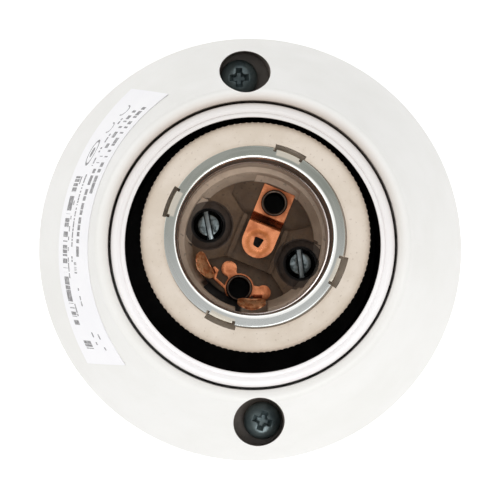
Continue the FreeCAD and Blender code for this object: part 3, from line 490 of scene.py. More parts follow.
def eyelet_material():
    """Tinned brass rim; the bore below it is painted near black as shade."""
    material, w, bsdf, place = new_material("tinned brass", Metallic=1.0)
    worn = worn_metal(w, place, (120, 106, 96), (58, 46, 40), 0.85, (0.3, 0.48), scratch=0.2)
    # painted shade: near black down the bore, below the rim
    rim = w.ramp_mm(w.split(place)[2], 63.0, 63.3)
    w.coat(bsdf, w.mix(rim, rgb(22, 18, 16), worn["Color"]), worn)
    w.link(w.ramp(rim, 0.0, 1.0, 0.8, 0.35), bsdf.inputs["Roughness"])
    return material


def porcelain_material():
    """Fired ceramic: warm grey outside, browner down the socket and darkest on its floor, partly its fired
    colour and partly painted shade.
    """
    material, w, bsdf, place = new_material("fired ceramic")
    around = about(w, place, INSERT_X, INSERT_Y)
    radius, level = around["Radius"], around["Height"]
    outer = mottled(w, place, (220, 208, 194), (210, 197, 181), (168, 150, 134), 160.0, 1900.0, 0.4)
    wall = mottled(w, place, (226, 206, 186), (208, 188, 168), (108, 92, 78), 220.0, 1500.0, 0.4)
    # the socket's floor: browner, partly its fired colour and partly painted shade
    base = mottled(w, place, (122, 98, 74), (106, 83, 62), (66, 52, 42), 260.0, 1500.0, 0.5)
    inner = w.mix(w.ramp_mm(radius, 10.75, 10.95), base, wall)
    # painted shade down each screw's well, and near black round the screw
    well_r = w.ramp_mm(level, 64.4, 64.7, 4.3 * MM, 4.8 * MM)
    for screw_y in (LEFT_SCREW_Y, RIGHT_SCREW_Y):
        from_screw = about(w, place, *on_holder(SCREW_X, screw_y))["Radius"]
        in_well_shade = w.times(w.math("LESS_THAN", from_screw, well_r), w.ramp_mm(level, 66.5, 67.5, 0.78, 0.0))
        inner = w.mix(in_well_shade, inner, rgb(46, 30, 21))
        inner = w.mix(w.ramp_mm(from_screw, 3.0, 3.2, 0.9, 0.0), inner, rgb(16, 12, 10))
    # painted shade: near black under the pad's hole
    from_dimple = about(w, place, *on_holder(PAD_HOLE_X, CONTACT_LINE_Y))["Radius"]
    inner = w.mix(w.ramp_mm(from_dimple, 1.4, 2.4, 0.9, 0.0), inner, rgb(20, 14, 10))
    # painted shade: near black in the leaf's recess in the wall
    turn = turn_about(w, around)
    first, last = (math.radians(angle) for angle in RECESS_TURN)
    recess = w.times(w.ramp(turn, first, first + 0.06), w.ramp(turn, last - 0.06, last, 1.0, 0.0))
    recess = w.times(recess, w.ramp_mm(radius, 10.2, 10.5))
    recess = w.times(recess, w.ramp_mm(level, 67.0, 69.5, 0.95, 0.0))
    inner = w.mix(recess, inner, rgb(24, 13, 9))
    # painted shade: the bead darker towards its outer and inner edges
    edge = w.math("MAXIMUM", w.ramp_mm(radius, 17.9, 19.6), w.ramp_mm(radius, 15.3, 16.3, 0.9, 0.0))
    face = w.mix(w.times(edge, 0.55), outer, rgb(184, 166, 146))
    w.coat(bsdf, w.mix(w.ramp_mm(level, 71.0, 84.0), inner, face),
           skin(w, place, (0.5, 0.68), 0.5, 0.12, 1800.0, 260.0))
    return material


def copper_material():
    """Copper sheet with brown tarnish in patches, darker orange round the dimple, painted shade on the bend,
    darker round the eyelets, and paler leaves as painted light.
    """
    material, w, bsdf, place = new_material("copper sheet", Metallic=1.0)
    worn = worn_metal(w, place, (232, 150, 106), (186, 104, 64), 0.7, (0.26, 0.46), 420.0, 0.3)
    dimple = about(w, place, *on_holder(PAD_HOLE_X, CONTACT_LINE_Y))
    height = dimple["Height"]
    ring = w.band_mm(dimple["Radius"], 1.3, 1.9, 1.9, 2.6)
    colour = w.mix(w.times(ring, 0.6), worn["Color"], rgb(168, 96, 44))
    # painted shade along the bend, where the strip slopes away from the light
    bend = w.band_mm(height, 63.15, 63.6, 66.3, 66.9)
    colour = w.mix(w.times(bend, 0.8), colour, rgb(92, 34, 16))
    # darker round both eyelets, low down
    low_down = w.ramp_mm(height, 63.2, 63.6, 1.0, 0.0)
    for eyelet_x in (STRIP_EYELET_X, SIDE_EYELET_X):
        from_eyelet = about(w, place, *on_holder(eyelet_x, CONTACT_LINE_Y))["Radius"]
        darker_by_eyelet = w.times(w.ramp_mm(from_eyelet, 2.1, 3.4, 0.7, 0.0), low_down)
        colour = w.mix(darker_by_eyelet, colour, rgb(112, 52, 30))
    # painted light: the leaves paler and less metallic, for the light they catch
    from_axis = about(w, place, INSERT_X, INSERT_Y)["Radius"]
    leaf = w.times(w.ramp_mm(from_axis, 8.6, 9.0), w.ramp_mm(height, 65.2, 66.6))
    patches = w.ramp(w.noise(place, 900.0, 4.0, 0.6), 0.4, 0.6)
    colour = w.mix(leaf, colour, w.mix(patches, rgb(255, 190, 140), rgb(214, 132, 84)))
    w.coat(bsdf, colour, worn)
    w.link(w.ramp(leaf, 0.0, 1.0, 1.0, 0.45), bsdf.inputs["Metallic"])
    return material


def shell_material():
    """Nickel plated sheet, brushed round its axis: satin flange painted lighter below, a polished mouth with
    a painted highlight, painted shade down inside and a painted highlight at the ledge.
    """
    material, w, bsdf, place = new_material("nickel plated sheet", Metallic=1.0)
    around = about(w, place, INSERT_X, INSERT_Y)
    radius, height = around["Radius"], around["Height"]
    worn = worn_metal(w, around["Around"], (152, 154, 147), (124, 127, 120), 0.8, (0.2, 0.36), 700.0, 0.2,
                      6000.0)
    # painted light: the flange lighter towards its lower side
    lower = w.ramp_mm(w.split(place)[1], 10.0, -14.0, 0.0, 0.6)
    colour = w.mix(lower, worn["Color"], rgb(206, 208, 208))
    # painted highlight: a white line round the polished mouth
    mouth_highlight = w.times(w.band_mm(radius, 13.3, 13.4, 13.7, 13.95), w.ramp_mm(height, 89.5, 89.8))
    colour = w.mix(mouth_highlight, colour, rgb(252, 252, 248))
    from_tab = w.math("SUBTRACT", turn_about(w, around), math.radians(INSERT_TURN))
    from_tab = w.math("PINGPONG", from_tab, math.pi / 4)
    tab = w.ramp(from_tab, math.radians(7.8), math.radians(9.2), 1.0, 0.0)
    colour = w.mix(w.times(tab, w.ramp_mm(radius, 14.15, 14.5)), colour, rgb(204, 197, 184))
    # painted shade: darker down inside the shell
    deep_shade = w.ramp_mm(height, 89.4, 88.4)
    colour = w.mix(deep_shade, colour, rgb(112, 106, 98))
    # painted highlight: a bright line along the ledge
    ledge_highlight = w.band_mm(height, LEDGE_Z - 0.3, LEDGE_Z - 0.1, LEDGE_Z + 0.2, LEDGE_Z + 0.4)
    below = w.ramp_mm(height, LEDGE_Z - 0.3, LEDGE_Z - 1.2)
    colour = w.mix(ledge_highlight, colour, rgb(250, 240, 236))
    w.coat(bsdf, w.mix(below, colour, rgb(206, 186, 168)), worn)
    w.link(w.ramp(below, 0.0, 1.0, 1.0, 0.3), bsdf.inputs["Metallic"])
    polished = w.times(worn["Roughness"], w.ramp(mouth_highlight, 0.0, 1.0, 1.0, 0.55))
    dull = w.times(w.math("SUBTRACT", deep_shade, ledge_highlight, clamp=True), 0.32)
    w.link(w.math("ADD", polished, dull), bsdf.inputs["Roughness"])
    return material


def screw_material():
    """Dull zinc, mottled on the face, with a painted highlight on the slot's floor and painted shade down
    the sides.
    """
    material, w, bsdf, place = new_material("dull zinc screw", Metallic=1.0)
    worn = worn_metal(w, place, (132, 142, 144), (62, 70, 72), 0.95, (0.3, 0.5), 900.0, 0.4)
    level = w.split(place)[2]
    face = w.ramp_mm(level, 63.44, 63.48)
    # painted highlight on the slot's floor, and painted shade down the sides
    slot_floor_highlight = w.band_mm(level, 62.8, 62.86, 62.9, 62.96)
    side = w.math("SUBTRACT", 1.0, w.math("MAXIMUM", face, slot_floor_highlight), clamp=True)
    colour = w.mix(w.times(slot_floor_highlight, 0.8), worn["Color"], rgb(150, 158, 160))
    w.coat(bsdf, w.mix(w.times(side, 0.9), colour, rgb(34, 40, 44)), worn)
    return material


REAR_WHITE = ((240, 239, 236), (234, 233, 229), (190, 188, 182))
white_plastic_back = moulding("white plastic, gland", *REAR_WHITE, rough=(0.4, 0.52))
white_rear = moulding("white plastic, back", *REAR_WHITE, rough=(0.4, 0.52), marks=chamber_painted_shade)
white_plastic_base = moulding("white plastic, wall side", (238, 237, 234), (231, 230, 226), (186, 184, 178),
                              rough=(0.42, 0.55), grain=0.2)
white_bell = moulding("white plastic, bell", (243, 242, 239), (239, 238, 234), (204, 202, 196), grain=0.1,
                      wave=0.06, marks=bell_painted_shade)
silicone = moulding("white silicone", (252, 250, 250), (249, 246, 246), (220, 214, 211), rough=(0.42, 0.52),
                    grain=0.06, wave=0.02, marks=upper_side_shade)
black_rubber = moulding("black rubber", (12, 6, 6), (7, 3, 4), (36, 24, 20), rough=(0.55, 0.7), grain=0.3,
                        wave=0.15, specks=0.25, Specular_IOR_Level=0.2)
grey_rubber = moulding("dark sealing rubber", (44, 42, 40), (34, 32, 31), (70, 66, 62), rough=(0.5, 0.65),
                       grain=0.35, specks=0.3)
zinc = metal("zinc plated steel", (168, 176, 180), (118, 126, 132), 0.7, (0.25, 0.45))
dark_steel = metal("dark oxide steel", (134, 150, 152), (84, 100, 104), 0.9, (0.3, 0.46), 0.45)
terminal_brass = metal("terminal brass", (205, 170, 96), (150, 116, 62), 0.7, (0.25, 0.42))
eyelet_metal = eyelet_material()
porcelain = porcelain_material()
screw_zinc = screw_material()
copper = copper_material()
nickel = shell_material()


def dress(piece, material):
    piece.data.materials.clear()
    piece.data.materials.append(material)


node_finishes = {
    white_bell: ("front_bell",),
    white_rear: ("rear_shell",),
    white_plastic_back: ("gland_body", "gland_nut"),
    white_plastic_base: ("wall_base", "swivel_arm"),
    silicone: ("lamp_gasket",),
    black_rubber: ("inner_sleeve",),
    grey_rubber: ("shell_gasket", "screw_washer_top", "screw_washer_bottom", "gland_seal"),
    porcelain: ("ceramic_body",),
    nickel: ("screw_shell",),
    copper: ("centre_contact", "side_contact"),
    eyelet_metal: ("centre_eyelet", "side_eyelet"),
    terminal_brass: ("centre_terminal", "side_terminal"),
    zinc: ("insert_screw_left", "insert_screw_right", "centre_terminal_screw", "side_terminal_screw",
           "pan_washer", "pan_screw", "tilt_bolt", "tilt_spring_washer", "tilt_nut", "hinge_washer_left",
           "hinge_washer_right"),
    dark_steel: ("cover_screw_top", "cover_screw_bottom"),
}
for finish, names in node_finishes.items():
    for node_name in names:
        dress(nodes[node_name], finish)


# ------------------------------------------------------------------ pieces made here

PITCH = 3.629               # of the lamp thread
THREAD_RINGS = 62
ROOT_R = 13.3
UPPER_DEPTH, LOWER_DEPTH = 0.16, 0.4        # of the thread, above and below the ledge
LOWER_WAVE = 0.2
LEDGE_HALF = 0.17
LEDGE_RINGS = (-0.16, -0.08, -0.03, 0.0, 0.03, 0.08, 0.16)
SHEET = 0.4
SHELL_FOOT_Z, THREAD_TOP_Z = 70.0, 88.4
FLANGE_Z = CERAMIC_Z + 0.04
MOUTH_CURVE = ((0.0, 0.8), (0.02, 0.5), (0.07, 0.3), (0.15, 0.16), (0.26, 0.07), (0.4, 0.02), (0.6, 0.0))
SHELL_STEPS = 180
TAB_HALF, NOTCH_HALF = 8.0, 10.0            # half angles, in degrees
TAB_BEND_R = 14.95
# a tab's rings as they are folded down: up to which radius, the new radius and the drop
TAB_FOLD = ((15.25, 15.2, 0.05), (15.35, 15.34, 0.25), (16.0, 15.42, 1.6))


def off_tab(point):
    """Angle from the nearest of the four tabs, in degrees."""
    angle = math.degrees(math.atan2(point.y, point.x)) % 90
    return min(angle, 90 - angle)


def face_up(piece):
    """Turn an open sheet so that its face looks up and out."""
    highest = max(piece.data.polygons, key=lambda face: abs(face.normal.z))
    if highest.normal.z < 0:
        edit(piece)
        bpy.ops.mesh.flip_normals()
        object_mode()


def make_threaded_shell():
    """Pressed shell: rolled thread, small ledge, rounded mouth, flat flange and four tabs bent down."""
    threaded = THREAD_TOP_Z - SHELL_FOOT_Z
    heights = [SHELL_FOOT_Z + threaded * ring / THREAD_RINGS for ring in range(THREAD_RINGS + 1)]
    heights += [LEDGE_Z + away for away in LEDGE_RINGS]
    outline = [(ROOT_R, height) for height in sorted(heights)]
    outline += [(ROOT_R + out, FLANGE_Z - drop) for out, drop in MOUTH_CURVE]
    outline += [(14.4, FLANGE_Z), (14.8, FLANGE_Z), (TAB_BEND_R, FLANGE_Z), (15.2, FLANGE_Z),
                (15.32, FLANGE_Z - 0.02), (15.42, FLANGE_Z - 0.1)]
    shell = turned("threaded_shell", outline, steps=SHELL_STEPS, closed=False)

    def roll(point):
        height = point.z / MM
        if height > THREAD_TOP_Z:
            return point
        turn = math.atan2(point.y, point.x) / (2 * math.pi)
        wave = (1 - math.cos(2 * math.pi * (height / PITCH - turn))) / 2
        upper = UPPER_DEPTH * wave * eased(height, LEDGE_Z + 0.2, LEDGE_Z + 1.0)
        upper *= 1 - eased(height, THREAD_TOP_Z - 1.4, THREAD_TOP_Z)
        lower = LOWER_DEPTH - LOWER_WAVE * wave * eased(height, SHELL_FOOT_Z, SHELL_FOOT_Z + 1.2)
        part = eased(height, LEDGE_Z - LEDGE_HALF, LEDGE_Z + LEDGE_HALF)
        flat = point.xy.normalized() * (ROOT_R - lower + (lower - upper) * part) * MM
        return Vector((flat.x, flat.y, point.z))

    def fold(point):
        out = point.xy.length / MM
        if off_tab(point) > TAB_HALF + 0.5 or out < TAB_BEND_R + 0.1:
            return point
        reach, drop = next(bend[1:] for bend in TAB_FOLD if out < bend[0])
        flat = point.xy.normalized() * reach * MM
        return Vector((flat.x, flat.y, (FLANGE_Z - drop) * MM))

    def in_notch(face):
        middle = face.calc_center_median()
        return middle.xy.length > (TAB_BEND_R - 0.1) * MM and TAB_HALF < off_tab(middle) < NOTCH_HALF

    press(shell, roll)
    pick(shell, "FACE", in_notch)
    bpy.ops.mesh.delete(type="FACE")
    press(shell, fold)
    face_up(shell)
    applied(shell, "SOLIDIFY", thickness=SHEET * MM, offset=-1.0)
    return placed(in_insert(shell), *SHELL_SHIFT)


threaded_shell = make_threaded_shell()
smooth(threaded_shell, 40)
dress(threaded_shell, nickel)
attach(threaded_shell, "head")
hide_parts("screw_shell")


# ---- cover screws with a cross recess ----

COVER_SCREWS = (("cover_screw_top", -2.06, 30.12, 1.5), ("cover_screw_bottom", 2.04, -30.28, -18.0))
HEAD_SEAT_Z = 67.5
HEAD_DOME = ((3.3, 0.0), (3.3, 0.75), (3.22, 1.2), (2.98, 1.65), (2.55, 2.05), (1.95, 2.32), (1.2, 2.46),
             (0.5, 2.5), (0.0, 2.5))
HEAD_HIGH = 2.5
COVER_SCREW_R, COVER_SCREW_LONG = 1.75, 16.0
# the recess's arms and the square between them: length, width, depth and turn
RECESS_ARMS = ((3.9, 1.3, 1.9, 0.0), (3.9, 1.3, 1.9, 90.0), (2.3, 2.3, 1.7, 45.0))


def make_cross_screw(name):
    """Turned blank, then the recess: two tapered arms and a square at 45 degrees between them."""
    foot = HEAD_SEAT_Z - COVER_SCREW_LONG
    outline = [(0.0, foot), (0.7, foot), (COVER_SCREW_R, foot + 2.0), (COVER_SCREW_R, HEAD_SEAT_Z)]
    outline += [(radius, HEAD_SEAT_Z + height) for radius, height in HEAD_DOME]
    screw = turned(name, outline, steps=64)
    for length, width, depth, turn in RECESS_ARMS:
        arm = primitive("cube", "arm", size=1.0)

        def taper(point):
            narrow = 1.0 if point.z > 0 else 0.5
            height = HEAD_SEAT_Z + HEAD_HIGH + (0.3 if point.z > 0 else -depth)
            return Vector((point.x * length * narrow * MM, point.y * width * narrow * MM, height * MM))

        press(arm, taper)
        combined(screw, placed(arm, turn=turn))
    applied(screw, "BEVEL", width=0.1 * MM, segments=2, limit_method="ANGLE", angle_limit=math.radians(38))
    cleaned(screw)
    return screw


top_screw = make_cross_screw("cross_screw_top")
bottom_screw = copied(top_screw, "cross_screw_bottom")
for screw, (node_name, screw_x, screw_y, turn) in zip((top_screw, bottom_screw), COVER_SCREWS):
    placed(screw, screw_x, screw_y, 0, turn)
    smooth(screw, 30)
    dress(screw, dark_steel)
    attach(screw, "head")
    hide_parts(node_name)


# ---- teeth round the ceramic ----

TEETH = 120
TOOTH_HIGH = 0.12


def make_ceramic_teeth():
    """Fine upright teeth pressed round the ceramic's head."""
    inner, outer = CERAMIC_R - 0.3, CERAMIC_R + 0.02
    outline = [(inner, 85.4), (outer, 85.4), (outer, 87.5), (outer, 89.5), (outer - 0.1, 89.95),
               (inner, 90.15)]
    band = turned("ceramic_teeth", outline, steps=TEETH * 4)

    def tooth(point):
        if point.xy.length < (CERAMIC_R - 0.1) * MM:
            return point
        wave = math.cos(math.atan2(point.y, point.x) * TEETH)
        flat = point.xy.normalized() * (point.xy.length + TOOTH_HIGH * MM * max(0.0, wave))
        return Vector((flat.x, flat.y, point.z))

    press(band, tooth)
    return in_insert(band)


ceramic_teeth = make_ceramic_teeth()
smooth(ceramic_teeth, 30)
dress(ceramic_teeth, porcelain)
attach(ceramic_teeth, "head")


# ---- centre contact, pressed from sheet ----

STRIP_TIP_X, STRIP_END_X = -2.6, 10.5
STRIP_HALF = 2.925
STRIP_SHEET = 0.5
PAD_Z = CONTACT_FLOOR_Z + 4.6
PLATE_Z = CONTACT_FLOOR_Z + STRIP_SHEET
BEND_FROM, BEND_TO = 3.35, 5.25


def post(name, corners, low, high, rounding=0.0):
    """Upright bar on a polygon, with rounded edges."""
    bar = settled(primitive("cylinder", name, vertices=len(corners), radius=MM, depth=MM))
    for index, vertex in enumerate(bar.data.vertices):
        x, y = corners[index // 2]
        vertex.co = (x * MM, y * MM, (high if index % 2 else low) * MM)
    cleaned(bar)
    if rounding:
        pick(bar, "EDGE", lambda edge: abs(edge.verts[0].co.z - edge.verts[1].co.z) > 0.5 * MM)
        bpy.ops.mesh.bevel(offset=rounding * MM, segments=5)
        object_mode()
    return bar


def round_bar(name, radius, x, y, low, high):
    bar = settled(primitive("cylinder", name, vertices=64, radius=radius * MM, depth=(high - low) * MM))
    return placed(bar, x, y, (low + high) / 2)


def make_contact_strip():
    """Sheet strip: round tip, dimpled pad with a hole, a step down, and a plate under the eyelet."""
    strip = primitive("grid", "contact_strip", x_subdivisions=132, y_subdivisions=56, size=1.0)

    def form(point):
        x = STRIP_TIP_X + (point.x + 0.5) * (STRIP_END_X - STRIP_TIP_X)
        centre = STRIP_TIP_X + STRIP_HALF
        half = STRIP_HALF
        if x < centre:
            half = math.sqrt(max(0.0, STRIP_HALF ** 2 - (centre - x) ** 2))
        y = point.y * 2 * half
        height = PAD_Z - (PAD_Z - PLATE_Z) * eased(x, BEND_FROM, BEND_TO)
        away = math.hypot(x - PAD_HOLE_X, y)
        if away < 2.6:
            groove = eased(away, 1.35, 1.8) * (1 - eased(away, 2.0, 2.5))
            height += 0.05 * (1 - eased(away, 0.7, 1.6)) - 0.05 * groove
        return Vector((x * MM, (y + CONTACT_LINE_Y) * MM, height * MM))

    press(strip, form)
    cleaned(strip, 0.01)
    face_up(strip)
    applied(strip, "SOLIDIFY", thickness=STRIP_SHEET * MM, offset=-1.0)
    corners = [(0.82, 0.92), (0.82, -0.82), (-0.97, -0.42), (-0.77, 0.72)]
    corners = [(x + PAD_HOLE_X, y + CONTACT_LINE_Y) for x, y in corners]
    combined(strip, post("hole", corners, PAD_Z - 2, PAD_Z + 1, 0.3))
    eyelet_hole = round_bar("hole", EYELET_HOLE_R, STRIP_EYELET_X, CONTACT_LINE_Y, PLATE_Z - 1, PLATE_Z + 1)
    combined(strip, eyelet_hole)
    cleaned(strip)
    return in_insert(strip)


contact_strip = make_contact_strip()
smooth(contact_strip, 40)
dress(contact_strip, copper)
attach(contact_strip, "head")
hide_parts("centre_contact")


# ---- side contact, with two leaves bent up ----

SIDE_RING_R = 2.6
SIDE_TIPS = ((-5.97, 2.07, 1.38), (-7.6, -5.19, 1.3))
SIDE_ARM = ((-6.6, 4.6), (-7.6, 5.2), (-8.75, 3.9), (-9.8, 0.8), (-9.45, 0.3), (-8.4, 3.6), (-6.9, 3.7))
NECK_HALF = 0.9
SIDE_LIMIT_R = 10.6         # the plate ends at the socket's wall
LEAF_HALF, LEAF_SHEET = 2.6, 0.34


def make_side_plate():
    """Flat stamping round the eyelet, with two round fingers and a curved arm."""
    low, high = CONTACT_FLOOR_Z + 0.02, PLATE_Z
    x, y = SIDE_EYELET_X, CONTACT_LINE_Y
    plate = round_bar("side_plate", SIDE_RING_R, x, y, low, high)
    for tip_x, tip_y, radius in SIDE_TIPS:
        combined(plate, round_bar("finger", radius, tip_x, tip_y, low, high), "UNION")
        away = Vector((tip_x - x, tip_y - y)).normalized() * NECK_HALF
        neck = [(x - away.y, y + away.x), (x + away.y, y - away.x),
                (tip_x + away.y, tip_y - away.x), (tip_x - away.y, tip_y + away.x)]
        combined(plate, post("neck", neck, low, high), "UNION")
    combined(plate, post("arm", SIDE_ARM, low, high), "UNION")
    combined(plate, round_bar("rim", SIDE_LIMIT_R, 0, 0, low - 1, high + 1), "INTERSECT")
    cleaned(plate)
    combined(plate, round_bar("hole", EYELET_HOLE_R, x, y, low - 1, high + 1))
    cleaned(plate)
    applied(plate, "BEVEL", width=0.06 * MM, segments=2, limit_method="ANGLE", angle_limit=math.radians(50))
    return plate


def make_leaf(direction, inner, outer, low, high, foot_side, foot_radius):
    """Spoon-shaped leaf that leans outwards, on a narrow foot that rises from the plate."""
    leaf = primitive("grid", "leaf", x_subdivisions=40, y_subdivisions=20, size=1.0)

    def spoon(point):
        across, up = point.x * 2, point.y + 0.5
        half = LEAF_HALF * max(0.0, 1 - abs(2 * up - 1) ** 2.4) ** 0.5
        radius = inner + (outer - inner) * up - 0.25 * across * across
        turn = math.radians(direction) + across * half / radius
        height = low + (high - low) * up + 0.35 * math.sin(math.pi * up) * (1 - across * across)
        return Vector((radius * math.cos(turn) * MM, radius * math.sin(turn) * MM, height * MM))

    press(leaf, spoon)
    cleaned(leaf, 0.01)
    foot = primitive("grid", "foot", x_subdivisions=12, y_subdivisions=24, size=1.0)

    def stem(point):
        side, up = foot_side + point.x * 1.7, point.y + 0.5
        radius = foot_radius + (inner + 0.35 - foot_radius) * eased(up, 0.25, 1.0)
        height = PLATE_Z - 0.1 + (low + 0.25 - PLATE_Z) * eased(up, 0.1, 0.95)
        turn = math.radians(direction)
        return Vector(((radius * math.cos(turn) - side * math.sin(turn)) * MM,
                       (radius * math.sin(turn) + side * math.cos(turn)) * MM, height * MM))

    press(foot, stem)
    cleaned(foot, 0.01)
    for sheet in (leaf, foot):
        face_up(sheet)
        applied(sheet, "SOLIDIFY", thickness=LEAF_SHEET * MM, offset=-1.0)
    return joined([leaf, foot], "leaf")


def make_side_contact():
    parts = [make_side_plate(),
             make_leaf(139.0, 9.0, 11.1, 66.4, 68.5, 1.2, 8.3),
             make_leaf(201.0, 10.5, 12.3, 66.6, 68.9, 1.1, 9.3)]
    return in_insert(joined(parts, "side_spring"))


side_spring = make_side_contact()
smooth(side_spring, 40)
dress(side_spring, copper)
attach(side_spring, "head")
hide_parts("side_contact")


# ---- insert screws ----

INSERT_SCREWS = (("insert_screw_left", LEFT_SCREW_Y, 101.0), ("insert_screw_right", RIGHT_SCREW_Y, 97.0))
SCREW_SEAT_Z = 61.5
SCREW_HIGH = 2.0
SLOT_HALF, SLOT_LONG_HALF, SLOT_DEEP = 0.56, 3.4, 0.95
RIDGE_DEEP = 0.62           # from the face down to the top of the slot's floor


def make_slotted_screw(name):
    """Turned screw with a flat face and a rounded shoulder; the slot's floor stands up along its middle."""
    top = SCREW_SEAT_Z + SCREW_HIGH
    foot = SCREW_SEAT_Z - 12.0
    outline = [(0.0, foot), (1.5, foot), (1.5, SCREW_SEAT_Z), (2.6, SCREW_SEAT_Z), (2.6, top - 1.0),
               (2.45, top - 0.7), (2.22, top - 0.4), (2.02, top - 0.16), (1.9, top - 0.04), (1.82, top),
               (0.0, top)]
    screw = turned(name, outline, steps=64)
    slot = [(-SLOT_LONG_HALF, -SLOT_HALF), (SLOT_LONG_HALF, -SLOT_HALF),
            (SLOT_LONG_HALF, SLOT_HALF), (-SLOT_LONG_HALF, SLOT_HALF)]
    combined(screw, post("slot", slot, top - SLOT_DEEP, top + 1))
    ridge = primitive("cube", "ridge", size=1.0)

    def form(point):
        wide = 0.36 if point.z > 0 else 0.52
        height = top - (RIDGE_DEEP if point.z > 0 else 1.2)
        return Vector((point.x * 2 * 2.5 * MM, point.y * 2 * wide * MM, height * MM))

    press(ridge, form)
    combined(screw, ridge, "UNION")
    cleaned(screw)
    applied(screw, "BEVEL", width=0.05 * MM, segments=2, limit_method="ANGLE", angle_limit=math.radians(35))
    return screw


left_screw = make_slotted_screw("slotted_screw_left")
right_screw = copied(left_screw, "slotted_screw_right")
for screw, (node_name, screw_y, turn) in zip((left_screw, right_screw), INSERT_SCREWS):
    placed(screw, turn=turn - INSERT_TURN)
    in_insert(placed(screw, SCREW_X, screw_y))
    smooth(screw, 30)
    dress(screw, screw_zinc)
    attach(screw, "head")
    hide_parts(node_name)


# ---- rating label, wrapped on the bell's slope ----

LABEL_LENGTH, LABEL_WIDTH = 53.0, 14.5
LABEL_MIDDLE_ANGLE, LABEL_MIDDLE_R = 171.0, 30.7
FILM = 0.09
END_LIFT, END_LIFT_LONG = 0.05, 3.0         # the film's short ends stand off a little
SLOPE = (BELL_RIM_R - LIP_R) / (FRONT_Z - LIP_DROP - BELL_EDGE_Z)


def make_label():
    """A straight film, bent on to the cone without stretching it."""
    label = primitive("grid", "rating_label", x_subdivisions=106, y_subdivisions=24, size=1.0)
    label.scale = (LABEL_LENGTH * MM, LABEL_WIDTH * MM, 1.0)
    settled(label)
    slant = math.sqrt(1 + SLOPE * SLOPE)
    apex_reach = LABEL_MIDDLE_R * slant / SLOPE          # along the slope, from the cone's tip
    tip_z = BELL_EDGE_Z + BELL_RIM_R / SLOPE

    def wrap(point):
        along, out = point.x / MM, -point.y / MM
        reach = math.hypot(along, apex_reach + out)
        turn = math.atan2(along, apex_reach + out) * slant / SLOPE
        radius = reach * SLOPE / slant
        angle = math.radians(LABEL_MIDDLE_ANGLE) - turn
        height = tip_z - radius / SLOPE
        near_end = max(0.0, (abs(along) - LABEL_LENGTH / 2 + END_LIFT_LONG) / END_LIFT_LONG)
        lift = (0.02 + END_LIFT * near_end ** 2) / slant
        radius += lift
        height += lift * SLOPE
        return Vector((radius * math.cos(angle) * MM, radius * math.sin(angle) * MM, height * MM))

    press(label, wrap)
    cleaned(label)
    face_up(label)
    applied(label, "SOLIDIFY", thickness=FILM * MM, offset=1.0)
    return label


# rows of short marks: low, high, start, end, period, seed, share of marks that show
LABEL_ROWS = (
    (11.3, 12.7, 4.0, 22.0, 1.25, 1.0, 0.9),
    (9.0, 10.3, 5.0, 33.0, 1.25, 2.0, 0.9),
    (7.3, 7.9, 6.0, 17.0, 0.7, 3.0, 0.6),
    (6.5, 7.1, 18.5, 34.0, 0.6, 4.0, 0.75),
    (2.2, 4.4, 19.0, 45.5, 0.78, 5.0, 1.0),
    (4.7, 5.2, 19.0, 44.0, 0.9, 6.0, 0.6),
    (7.6, 8.8, 34.0, 36.2, 0.3, 7.0, 0.95),
    (8.0, 8.5, 38.5, 49.0, 0.95, 8.0, 0.6),
    (10.4, 10.9, 42.0, 50.0, 1.3, 9.0, 0.5),
    (3.0, 6.0, 48.2, 49.9, 0.35, 10.0, 0.85),
)


def label_material():
    """White film with rows of dashes and a field of plain bars where the print goes. It says nothing."""
    material, w, bsdf, place = new_material("printed film", Specular_IOR_Level=0.45, Roughness=0.32)
    u, v = w.split(w.node("UVMap").outputs[0])[:2]
    along = w.times(w.math("SUBTRACT", 1.0, u), LABEL_LENGTH)
    across = w.times(v, LABEL_WIDTH)

    def band(value, low, high):
        return w.times(w.math("GREATER_THAN", value, low), w.math("LESS_THAN", value, high))

    def dashes(row_low, row_high, start, end, period, seed, share):
        """One row of short marks, some missing."""
        cell = w.node("CombineXYZ")
        w.link(w.math("FLOOR", w.math("DIVIDE", along, period)), cell.inputs[0])
        cell.inputs[1].default_value = seed
        chance = w.node("TexWhiteNoise", noise_dimensions="2D")
        w.link(cell.outputs[0], chance.inputs["Vector"])
        part = w.math("FRACT", w.math("DIVIDE", along, period))
        mark = w.math("LESS_THAN", part, w.times(chance.outputs["Value"], 1.15))
        shown = w.times(mark, w.math("GREATER_THAN", chance.outputs["Value"], 1.0 - share))
        return w.times(shown, w.times(band(across, row_low, row_high), band(along, start, end)))

    def oval(middle_x, middle_y, half_x, half_y, thin):
        """Thin oval outline."""
        x = w.math("DIVIDE", w.math("SUBTRACT", along, middle_x), half_x)
        y = w.math("DIVIDE", w.math("SUBTRACT", across, middle_y), half_y)
        return band(w.math("SQRT", w.math("ADD", w.times(x, x), w.times(y, y))), thin, 1.0)

    marks = [dashes(*row) for row in LABEL_ROWS]
    marks += [w.times(oval(5.2, 5.6, 1.3, 1.3, 0.78), w.math("GREATER_THAN", across, 5.4)),
              w.times(oval(9.2, 5.4, 1.2, 1.2, 0.76), w.math("GREATER_THAN", across, 5.2)),
              oval(14.4, 4.6, 2.6, 1.35, 0.8), oval(14.4, 4.6, 1.0, 0.55, 0.0)]
    ink = marks[0]
    for mark in marks[1:]:
        ink = w.math("MAXIMUM", ink, mark)
    faded = w.times(ink, w.ramp(w.noise(place, 1800.0, 2.0, 0.6), 0.3, 0.6, 0.7, 1.0))
    film = mottled(w, place, (253, 252, 254), (249, 248, 251), (230, 228, 230), 70.0, 900.0)
    w.link(w.mix(faded, film, rgb(98, 96, 98)), bsdf.inputs["Base Color"])
    return material


rating_label = make_label()
smooth(rating_label, 40)
dress(rating_label, label_material())
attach(rating_label, "head")


# ------------------------------------------------------------------ stage

